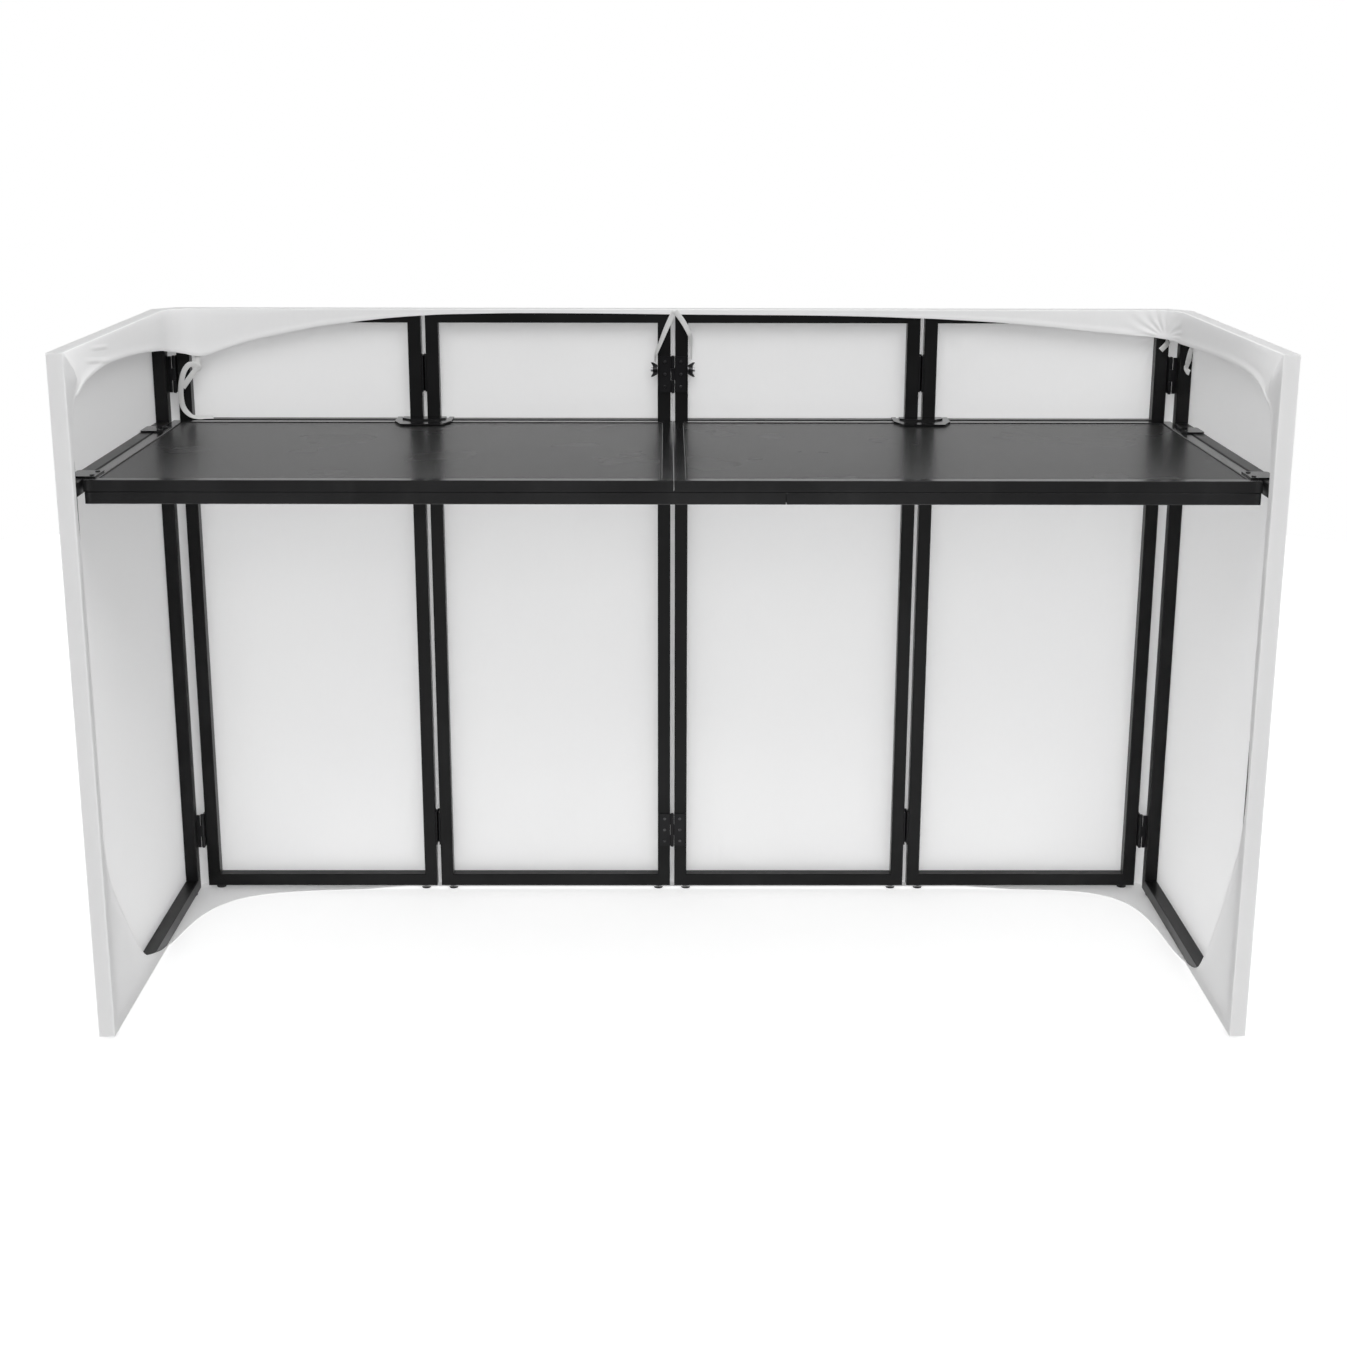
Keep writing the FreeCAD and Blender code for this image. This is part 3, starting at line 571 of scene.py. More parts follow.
class Bench:
    """Workshop habits shared by every new piece."""

    def __init__(self) -> None:
        """Make every finish once."""
        self.materials = {slot: finish.make() for slot, finish in FINISHES.items()}

    @staticmethod
    def only(piece: bpy.types.Object) -> None:
        """Make a piece the only one selected, and active.

        Args:
            piece: The piece.
        """
        bpy.ops.object.select_all(action="DESELECT")
        piece.select_set(True)
        bpy.context.view_layer.objects.active = piece

    def apply(self, piece: bpy.types.Object, kind: str, **settings: Any) -> None:
        """Add a modifier to a piece and apply it.

        Args:
            piece: The piece.
            kind: The modifier's type.
            **settings: Its properties.
        """
        self.only(piece)
        made = piece.modifiers.new(kind.lower(), kind)
        for key, value in settings.items():
            setattr(made, key, value)
        bpy.ops.object.modifier_apply(modifier=made.name)

    def smooth(self, piece: bpy.types.Object, degrees: float) -> None:
        """Shade a piece smooth up to an angle."""
        self.only(piece)
        bpy.ops.object.shade_smooth_by_angle(angle=math.radians(degrees))

    def settle(self, piece: bpy.types.Object) -> None:
        """Put a piece's place into its mesh."""
        self.only(piece)
        bpy.ops.object.transform_apply(location=True, rotation=True, scale=True)

    def dress(self, piece: bpy.types.Object, slot: str) -> None:
        """Give a new piece the finish of one of the record's slots.

        Args:
            piece: The piece.
            slot: The slot.
        """
        piece.data.materials.clear()
        piece.data.materials.append(self.materials[slot])

    @staticmethod
    def mesh(name: str, points: Sequence[Sequence[float]],
             faces: Sequence[Sequence[int]]) -> bpy.types.Object:
        """A new mesh object.

        Args:
            name: The object's name.
            points: Its vertices.
            faces: Its faces, by vertex number.

        Returns:
            The object, in the scene.
        """
        data = bpy.data.meshes.new(name)
        data.from_pydata([tuple(p) for p in points], [], [tuple(f) for f in faces])
        piece = bpy.data.objects.new(name, data)
        bpy.context.collection.objects.link(piece)
        return piece

    def weld(self, piece: bpy.types.Object) -> None:
        """Merge a mesh's doubles and turn its faces one way.

        Args:
            piece: The piece with the mesh.
        """
        self.only(piece)
        bpy.ops.object.mode_set(mode="EDIT")
        bpy.ops.mesh.select_all(action="SELECT")
        bpy.ops.mesh.remove_doubles(threshold=2e-5)
        bpy.ops.mesh.normals_make_consistent(inside=False)
        bpy.ops.object.mode_set(mode="OBJECT")

    def copies(self, name: str, model: bpy.types.Object, places: Sequence[Matrix]) -> bpy.types.Object:
        """Copy one modelled piece to several places and join the copies.

        Args:
            name: The name of the joined piece.
            model: The piece to copy, which goes away.
            places: Where each copy goes.

        Returns:
            The joined piece, at the origin.
        """
        made = []
        for place in places:
            twin = model.copy()
            twin.data = model.data.copy()
            bpy.context.collection.objects.link(twin)
            twin.matrix_world = place
            made.append(twin)
        bpy.data.objects.remove(model)
        for twin in made:
            self.settle(twin)
        bpy.ops.object.select_all(action="DESELECT")
        for twin in made:
            twin.select_set(True)
        bpy.context.view_layer.objects.active = made[0]
        if len(made) > 1:
            bpy.ops.object.join()
        joined = bpy.context.view_layer.objects.active
        joined.name = name
        return joined


def smooth_line(points: Sequence[Sequence[float]], count: int) -> np.ndarray:
    """A smooth line through points, evenly spaced along its length.

    Args:
        points: The points it passes through.
        count: How many points to return.

    Returns:
        An array of count rows.
    """
    knots = np.asarray(points, float)
    first, last = 2 * knots[0] - knots[1], 2 * knots[-1] - knots[-2]
    padded = np.vstack([first, knots, last])
    fine = []
    for a, b, c, d in zip(padded, padded[1:], padded[2:], padded[3:]):
        t = np.linspace(0.0, 1.0, 24, endpoint=False)[:, None]
        fine.append(0.5 * (2 * b + (c - a) * t + (2 * a - 5 * b + 4 * c - d) * t**2
                           + (3 * b - a - 3 * c + d) * t**3))
    line = np.vstack([*fine, knots[-1:]])
    run = np.concatenate([[0.0], np.cumsum(np.linalg.norm(np.diff(line, axis=0), axis=1))])
    marks = np.linspace(0.0, run[-1], count)
    return np.stack([np.interp(marks, run, line[:, k]) for k in range(line.shape[1])], 1)


def steps(*stops: tuple[float, float]) -> np.ndarray:
    """Marks along a line.

    Args:
        *stops: A start, then each stop with the largest step on the way to it.

    Returns:
        The marks, from the start to the last stop.
    """
    marks = [stops[0][0]]
    for (low, _), (high, size) in zip(stops, stops[1:]):
        count = max(1, math.ceil(abs(high - low) / size - 1e-9))
        marks.extend(np.linspace(low, high, count + 1)[1:])
    return np.array(marks)


def nearest(line: np.ndarray, place: Plan) -> int:
    """The number of the point of a line that lies nearest a place."""
    return int(np.argmin(np.hypot(line[:, 0] - place[0], line[:, 1] - place[1])))


def bell(off: float, reach: float) -> float:
    """A smooth hump: 1 at no distance, and next to 0 at twice its reach."""
    return math.exp(-((off / reach) ** 2))


@dataclass(frozen=True)
class HemLine:
    """Where the cover's hem lies on one half of the booth, in metres.

    The side edge is in Y and Z, the wing edge in X and Z, and the floor edge in X and Y.
    """

    side_edge: tuple[Plan, ...]
    wing_edge: tuple[Plan, ...]
    floor_edge: tuple[Plan, ...]
    corner_crease: float
    wrinkle: float

    @property
    def side_line(self) -> np.ndarray:
        """The side edge as a fine smooth line."""
        return smooth_line(self.side_edge, 700)

    @property
    def wing_line(self) -> np.ndarray:
        """The wing edge as a fine smooth line."""
        return smooth_line(self.wing_edge, 400)

    @property
    def floor_line(self) -> np.ndarray:
        """The floor edge as a fine smooth line."""
        return smooth_line(self.floor_edge, 300)


LEFT_HEM = HemLine(
    side_edge=(
        (-0.013, 1.119), (-0.061, 1.1235), (-0.104, 1.129), (-0.264, 1.143), (-0.423, 1.150),
        (-0.489, 1.150), (-0.555, 1.1465), (-0.603, 1.142), (-0.636, 1.1355), (-0.659, 1.1245),
        (-0.6755, 1.112), (-0.690, 1.088), (-0.697, 1.060), (-0.701, 1.025), (-0.704, 0.985),
        (-0.704, 0.93), (-0.700, 0.85), (-0.699, 0.72), (-0.6985, 0.50), (-0.700, 0.391),
        (-0.698, 0.345), (-0.681, 0.289), (-0.6475, 0.2385), (-0.600, 0.181), (-0.556, 0.130),
        (-0.492, 0.066), (-0.452, 0.047), (-0.413, 0.034), (-0.365, 0.019), (-0.322, 0.0105)),
    wing_edge=(
        (-0.9655, 1.1128), (-0.943, 1.109), (-0.918, 1.1075), (-0.905, 1.1095), (-0.892, 1.113),
        (-0.867, 1.1228), (-0.832, 1.134), (-0.798, 1.1428), (-0.763, 1.150), (-0.690, 1.1643),
        (-0.637, 1.1715), (-0.569, 1.1792), (-0.523, 1.1834), (-0.449, 1.188), (-0.391, 1.1893),
        (-0.304, 1.1908), (-0.188, 1.1906), (-0.101, 1.190), (0.0, 1.1888)),
    floor_edge=(
        (-0.9765, -0.300), (-0.9703, -0.252), (-0.9605, -0.196), (-0.9460, -0.142), (-0.9250, -0.099),
        (-0.8950, -0.063), (-0.8560, -0.039), (-0.8140, -0.0245), (-0.7510, -0.0134),
        (-0.690, -0.0075), (-0.620, -0.0022), (-0.550, 0.002)),
    corner_crease=0.012, wrinkle=0.0)
RIGHT_HEM = HemLine(
    side_edge=(
        (-0.013, 1.1425), (-0.061, 1.1405), (-0.120, 1.1425), (-0.200, 1.1448), (-0.312, 1.148),
        (-0.418, 1.150), (-0.504, 1.148), (-0.570, 1.1435), (-0.619, 1.1345), (-0.647, 1.1186),
        (-0.667, 1.100), (-0.682, 1.072), (-0.693, 1.030), (-0.699, 0.90), (-0.698, 0.70),
        (-0.699, 0.58), (-0.7045, 0.52), (-0.708, 0.485), (-0.708, 0.44), (-0.704, 0.405),
        (-0.688, 0.344), (-0.653, 0.2785), (-0.607, 0.199), (-0.568, 0.137), (-0.515, 0.065),
        (-0.486, 0.036), (-0.450, 0.020), (-0.4085, 0.0105)),
    wing_edge=(
        (-0.9655, 1.1455), (-0.943, 1.1472), (-0.918, 1.149), (-0.8945, 1.1502), (-0.860, 1.1532),
        (-0.823, 1.1566), (-0.782, 1.1606), (-0.731, 1.166), (-0.692, 1.1694), (-0.6487, 1.173),
        (-0.602, 1.1761), (-0.555, 1.1787), (-0.509, 1.181), (-0.450, 1.183), (-0.392, 1.1849),
        (-0.305, 1.1867), (-0.218, 1.1876), (-0.130, 1.188), (0.0, 1.1888)),
    floor_edge=(
        (-0.9765, -0.380), (-0.9700, -0.309), (-0.9650, -0.230), (-0.9565, -0.163), (-0.9435, -0.110),
        (-0.9240, -0.071), (-0.8985, -0.044), (-0.8690, -0.0265), (-0.8280, -0.0145),
        (-0.7670, -0.0075), (-0.690, -0.0034), (-0.600, 0.002)),
    corner_crease=0.010, wrinkle=0.0014)


@dataclass
class Section:
    """An upright cut through the cover: its places in plan, its hem and the direction away from the frame."""

    outer: np.ndarray | Plan
    inner: np.ndarray | Plan
    hem: np.ndarray | Point
    inward: np.ndarray | Plan

    def __post_init__(self) -> None:
        """Make arrays of the places, and put the floor edge under the inner one."""
        for name in ("outer", "inner", "hem", "inward"):
            setattr(self, name, np.array(getattr(self, name)))
        self.floor = self.inner.copy()


@dataclass
class StretchCover:
    """The white cover: one stretched sheet over the frames, in four pieces that meet edge to edge.

    The casing is the sewn roll along the hem: distances from the hem, each with how far the cloth swells there.
    The web is the cloth that crosses the corners and the floor, and the return is the strip inside an end post.
    """

    bench: Bench
    near_end: float = -0.719
    rear_y: float = -0.013
    stand_off: float = 0.0010
    thickness: float = 0.0009
    low: float = 0.0068
    web_low: float = 0.0014
    web_run: float = 0.02
    split: float = 0.5105
    fold_reach: float = 0.015
    barrel_rise: float = 0.0058
    barrel_spread: float = 0.030
    barrel_fall: float = 1.4
    barrel_half: Plan = (0.004, 0.036)
    casing: tuple[Plan, ...] = (
        (0.0, 0.0), (0.0012, 0.0009), (0.0045, 0.0013), (0.0081, 0.0008), (0.009, 0.0))
    casing_lap: float = 0.025
    casing_least: float = 0.3
    casing_reach: float = 0.2
    edge_round: float = 0.0024
    lap_rows: int = 10
    across: int = 5
    corner_fan: int = 8
    corner_round: float = 0.060
    lean: float = 0.006
    lean_drop: float = 0.06
    crease_reach: float = 0.022
    wrinkle_y: float = -0.61
    wrinkle_reach: float = 0.07
    wrinkle_turns: float = 17.0
    lap_fullness: float = 1.2
    web_turn: Plan = (-0.668, 1.118)
    web_settle: Plan = (-0.56, 1.1425)
    return_hem: tuple[Plan, ...] = ((-0.700, 1.02), (-0.699, 0.395), (-0.60, 0.168))
    return_rim: Plan = (1.02, 0.40)
    return_casing: float = 0.35
    flare_step: float = 0.011
    bulge: float = 0.0012
    wave: float = 0.0010
    wave_turns: float = 31.0
    wave_z: float = 0.95
    wave_reach: float = 0.2
    corner_flat: Plan = (1.29, 1.33)
    front_height: float = 1.32
    pieces: dict[str, bpy.types.Object] = field(default_factory=dict)

    def __post_init__(self) -> None:
        """Work out the planes that the cloth lies on."""
        self.outer_x = -SIDE_OUT - self.stand_off
        self.inner_x = -SIDE_IN + self.stand_off
        self.near_y = self.near_end - self.stand_off
        self.front_y = TUBE + self.stand_off
        self.inner_y = -self.stand_off
        self.high = FRAME_TOP + self.stand_off
        # Finer steps beside the fold hinges
        self.rows = steps(
            (self.high, 0), (1.13, 0.022), (1.015, 0.0085), (0.19, 0.033), (0.075, 0.0085),
            (self.low, 0.023))

    def barrel(self, x: float, z: float) -> float:
        """How far the cloth stands out over the fold hinges' barrels.

        Args:
            x: Place along the front.
            z: Height.

        Returns:
            The rise, in metres.
        """
        rise = 0.0
        wide, tall = self.barrel_half
        for middle in HINGE_HEIGHTS:
            gap = math.hypot(max(0.0, abs(abs(x) - PITCH) - wide), max(0.0, abs(z - middle) - tall))
            rise += self.barrel_rise / (1.0 + (gap / self.barrel_spread) ** 2) ** self.barrel_fall
        return rise

    def stations(self, hem: HemLine) -> list[Section]:
        """The sections through one half of the cover, from its near end to the booth's middle.

        Args:
            hem: The half's hem.

        Returns:
            The sections.
        """
        edge, stop = hem.side_line, hem.wing_line
        turn, settle = nearest(edge, self.web_turn), nearest(edge, self.web_settle)
        made = []
        # Finer steps at both ends
        for y in steps((self.near_y, 0), (-0.66, 0.005), (-0.56, 0.010), (-0.08, 0.021),
                       (self.rear_y, 0.0085)):
            share = np.interp(y, [self.near_y, self.web_settle[0], self.rear_y], [turn, settle, 0])
            place = (self.inner_x, *edge[int(round(share))])
            made.append(Section((self.outer_x, y), (self.inner_x, y), place, (1.0, 0.0)))
        rear = made[-1]
        outer, inner = np.array([-END_X, self.front_y]), np.array([-END_X, self.inner_y])
        for share in np.linspace(0.0, 1.0, self.corner_fan + 2)[1:-1]:
            place = rear.inner + share * (inner - rear.inner)
            drop = rear.hem[2] * (1 - share) + stop[0, 1] * share
            angle = share * math.pi / 2
            made.append(Section(rear.outer + share * (outer - rear.outer), place, (*place, drop),
                                (math.cos(angle), -math.sin(angle))))
        # Finer steps at the corner and over the fold hinges
        for x in steps((-END_X, 0), (-0.90, 0.0085), (-0.60, 0.020), (-0.525, 0.0125),
                       (-self.split, 0.0050), (-0.44, 0.0043), (-0.37, 0.0125), (0.0, 0.026)):
            drop = float(np.interp(x, stop[:, 0], stop[:, 1]))
            made.append(Section((x, self.front_y), (x, self.inner_y), (x, self.inner_y, drop), (0.0, -1.0)))
        self.lay_floor(made, hem)
        self.round_corner(made)
        return made

    def round_corner(self, made: list[Section]) -> None:
        """Carry the inner edge and the hem across the inside corner in an arc.

        Args:
            made: The sections.
        """
        middle = np.array([self.inner_x + self.corner_round, self.inner_y - self.corner_round])
        slant = np.array([-END_X - self.outer_x, self.front_y - self.rear_y])
        side_run = self.rear_y - middle[1]
        wing_run = middle[0] + END_X
        whole = side_run + float(np.linalg.norm(slant)) + wing_run
        for cut in made:
            x, y = cut.outer
            if x < self.outer_x + NEAR:
                run = y - middle[1]
            elif x < -END_X - NEAR:
                run = side_run + float(np.hypot(x - self.outer_x, y - self.rear_y))
            else:
                run = whole - (middle[0] - x)
            if not 0.0 < run < whole:
                continue
            angle = 0.5 * math.pi * run / whole
            cut.inward = np.array([math.cos(angle), -math.sin(angle)])
            cut.inner = middle - self.corner_round * cut.inward
            cut.hem = np.array([*cut.inner, cut.hem[2]])

    @staticmethod
    def lay_floor(made: list[Section], hem: HemLine) -> None:
        """Give every section its edge on the floor, which crosses the inside corner in a curve.

        Args:
            made: The sections.
            hem: The half's hem.
        """
        line = hem.floor_line
        low, high = hem.floor_edge[0][1], hem.floor_edge[-1][0]
        run = [index for index, cut in enumerate(made)
               if (cut.outer[0] < -END_X - NEAR and cut.outer[1] >= low)
               or -END_X - NEAR <= cut.outer[0] <= high]
        for cut in made[run[-1] + 1:]:
            cut.floor[1] = hem.floor_edge[-1][1]
        gaps = [float(np.linalg.norm(made[b].outer - made[a].outer)) for a, b in zip(run, run[1:])]
        path = np.cumsum([0.0, *gaps])
        for index, mark in zip(run, path / path[-1]):
            made[index].floor = line[int(round(mark * (len(line) - 1)))]

    def lap(self, rim: np.ndarray, hem: np.ndarray, inward: np.ndarray, crease: float, ripple: float,
            roll: float) -> list[np.ndarray]:
        """The rows from the hem up to the rim.

        Args:
            rim: The place on the frame's edge.
            hem: The place on the hem.
            inward: The direction away from the frame, in plan.
            crease: How far the cloth stands up in the middle of the lap.
            ripple: The size of the small wrinkles there.
            roll: How full the casing along the hem is, from 0 to 1.

        Returns:
            The rows' places.
        """
        length = float(np.linalg.norm(rim - hem))
        scale = min(1.0, length / self.casing_lap)
        band = [mark * scale for mark, _ in self.casing]
        free = np.linspace(band[-1], length, self.lap_rows - len(band) + 1)[1:]
        rows = []
        for index, along in enumerate([*band, *free]):
            share = along / max(length, NEAR)
            lift = self.casing[index][1] * scale * roll if index < len(band) else 0.0
            body = math.sin(math.pi * min(1.0, share)) ** self.lap_fullness
            lift += crease * body + ripple * body * (1.0 + math.sin(share * self.wrinkle_turns))
            place = hem + (rim - hem) * share
            place = place + np.array([inward[0], inward[1], 0.0]) * lift
            rows.append(place)
        return rows

    def half(self, hem: HemLine) -> tuple[list[np.ndarray], list[tuple[int, ...]], list[bool], list[float]]:
        """One half of the cover's mesh, on the left.

        Args:
            hem: The half's hem.

        Returns:
            Its points, its faces, for each face whether it belongs to the outer piece, and for each point
            whether the cloth is turned in there.
        """
        cuts = self.stations(hem)
        points: list[np.ndarray] = []
        faces: list[tuple[int, ...]] = []
        outer_piece: list[bool] = []
        turned_in: list[float] = []

        def grid(rows: list[list[np.ndarray]], outer: Callable[[int], bool], inside: int) -> None:
            """Add a sheet of quads.

            Args:
                rows: Its points, row by row.
                outer: Tells by a row's number whether its faces belong to the outer piece.
                inside: How many points at the start of each row are turned in.
            """
            first = len(points)
            width = len(rows[0])
            for row in rows:
                points.extend(row)
                turned_in.extend(float(j < inside) for j in range(width))
            for i in range(len(rows) - 1):
                for j in range(width - 1):
                    a = first + i * width + j
                    faces.append((a, a + 1, a + width + 1, a + width))
                    outer_piece.append(outer(i))

        loft = [self.loft_rows(cut, hem) for cut in cuts]
        split = next(i for i, cut in enumerate(cuts) if cut.outer[0] > -self.split - NEAR)
        grid(loft, lambda i: i < split, self.lap_rows)
        cap = []
        for z in self.rows:
            row = []
            for share in np.linspace(0.0, 1.0, self.across + 1):
                row.append(np.array([self.inner_x + share * (self.outer_x - self.inner_x), self.near_y, z]))
            cap.append(row)
        grid(cap, lambda i: True, 0)
        grid(self.return_rows(cuts, hem), lambda i: True, 0)
        return points, faces, outer_piece, turned_in

    def loft_rows(self, cut: Section, hem: HemLine) -> list[np.ndarray]:
        """One section's points, from the hem over the top and down the outside to the floor edge.

        Args:
            cut: The section.
            hem: The half's hem.

        Returns:
            The points.
        """
        x, y = cut.outer
        near, close, full = 0.0, 0.0, self.casing_least
        if x < self.outer_x + NEAR:
            near = math.exp(-abs(y - self.near_y) / self.crease_reach)
            close = bell(y - self.wrinkle_y, self.wrinkle_reach)
            full += (1.0 - self.casing_least) * bell(y - self.near_y, self.casing_reach)
        rim = np.array([*cut.inner, self.high])
        hang = self.lean * (1.0 - near) * min(1.0, (self.high - cut.hem[2]) / self.lean_drop)
        foot = cut.hem + np.array([*(cut.inward * hang), 0.0])
        rows = self.lap(rim, foot, cut.inward, hem.corner_crease * near,
                        hem.wrinkle * close * (1.0 - near), full)
        shares = np.linspace(0.0, 1.0, self.across + 1)[1:]
        for share in shares:
            rows.append(np.array([*(cut.inner + share * (cut.outer - cut.inner)), self.high]))
        facade = x > -END_X - NEAR
        for z in self.rows[1:]:
            out = self.barrel(x, z) if facade else 0.0
            rows.append(np.array([x, y + out, z]))
        wide = float(np.linalg.norm(cut.floor - cut.inner))
        base = np.array([x, y + (self.barrel(x, self.low) if facade else 0.0)])
        web = self.low + (self.web_low - self.low) * min(1.0, wide / self.web_run)
        for share in shares:
            rows.append(np.array([*(base + share * (cut.floor - base)), web]))
        return rows

    def return_rows(self, cuts: list[Section], hem: HemLine) -> list[list[np.ndarray]]:
        """The rows of the return inside the end post and of the flare below it.

        Args:
            cuts: The half's sections.
            hem: The half's hem.

        Returns:
            For each place round the rim, the points from the hem to the rim.
        """
        edge = hem.side_line
        marks = [nearest(edge, place) for place in (self.web_turn, *self.return_hem)]
        low, last = marks[-1], len(edge) - 1
        heights = [self.low, *reversed(self.return_rim), self.high]
        rim = [((self.near_y, z), np.interp(z, heights, marks[::-1])) for z in self.rows]
        for cut in cuts:
            x, y = cut.outer
            if x < self.outer_x + NEAR and self.near_y < y <= edge[-1, 0] + self.flare_step:
                share = (y - self.near_y) / (edge[-1, 0] - self.near_y)
                rim.append(((y, self.low), low + min(1.0, share) * (last - low)))
        made = []
        for (y, z), mark in rim:
            top = math.exp(-abs(z - self.high) / self.crease_reach)
            wave = self.wave * math.sin(z * self.wave_turns) * bell(z - self.wave_z, self.wave_reach)
            bulge = self.bulge + wave
            foot = np.array([self.inner_x, *edge[int(round(mark))]])
            roll = self.return_casing + (1.0 - self.return_casing) * top
            made.append(self.lap(np.array([self.inner_x, y, z]), foot, np.array([1.0, 0.0]),
                                 hem.corner_crease * top + bulge * (1.0 - top), 0.0, roll))
        return made

    def build(self) -> None:
        """Make the four pieces and give them their thickness and rounded edges."""
        for side, hem in ((Side.LEFT, LEFT_HEM), (Side.RIGHT, RIGHT_HEM)):
            points, faces, outer, inside = self.half(hem)
            shift = np.array([0.0, DJ_FACE, 0.0])
            turned = [p * np.array([-side.value, 1.0, 1.0]) + shift for p in points]
            for name, wanted in (("corner", True), ("front", False)):
                chosen = [f for f, mine in zip(faces, outer) if mine == wanted]
                used = sorted({index for face in chosen for index in face})
                number = {index: k for k, index in enumerate(used)}
                piece = self.bench.mesh(
                    f"cover_{side.word}_{name}", [turned[i] for i in used],
                    [[number[i] for i in face] for face in chosen])
                layer = piece.data.attributes.new("turned_in", "FLOAT", "POINT")
                layer.data.foreach_set("value", [inside[i] for i in used])
                self.bench.weld(piece)
                self.finish_edges(piece, side)
                self.pieces[f"{side.word}_{name}"] = piece

    def finish_edges(self, piece: bpy.types.Object, side: Side) -> None:
        """Turn a sheet's faces outwards, round its edges over the tubes and thicken it.

        Args:
            piece: The sheet.
            side: The side it is on.
        """
        mesh = piece.data
        outward = Vector((0.0, 1.0, 0.0) if "front" in piece.name else (float(side.value), 0.0, 0.0))
        widest = max(mesh.polygons, key=lambda face: face.area * abs(face.normal.dot(outward)))
        if widest.normal.dot(outward) < 0:
            mesh.flip_normals()
        self.bench.apply(piece, "BEVEL", width=self.edge_round, segments=3, limit_method="ANGLE",
                         angle_limit=math.radians(50.0))
        piece["flat_area"] = sum(face.area for face in mesh.polygons)
        self.bench.apply(piece, "SOLIDIFY", thickness=self.thickness, offset=0.0, use_even_offset=True)
        self.bench.smooth(piece, 40.0)

    def fit(self) -> None:
        for side in Side:
            corner, front = self.pieces[f"{side.word}_corner"], self.pieces[f"{side.word}_front"]
            sign, word = side.value, side.word
            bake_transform(corner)
            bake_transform(front)
            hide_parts(f"{word}_side_cover", f"{word}_corner_cover")
            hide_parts(f"{word}_panel_cover", "center_cover")
            for piece, flat, rests in (
                    (corner, self.corner_flat, [f"{word}_side_frame", f"{word}_panel_frame"]),
                    (front, (self.split, self.front_height),
                     [f"{word}_panel_frame", f"center_{word}_panel_frame"])):
                self.bench.dress(piece, "white_stretch_cloth")
                del piece["flat_area"]
                log.info("%s: %d faces", piece.name, len(piece.data.polygons))


@dataclass(frozen=True)
class Strand:
    """One run of tape: the line it follows and the way its flat side faces at each end."""

    line: tuple[Point, ...]
    faces: tuple[Point, Point] = ((0.0, -1.0, 0.0), (0.0, -1.0, 0.0))


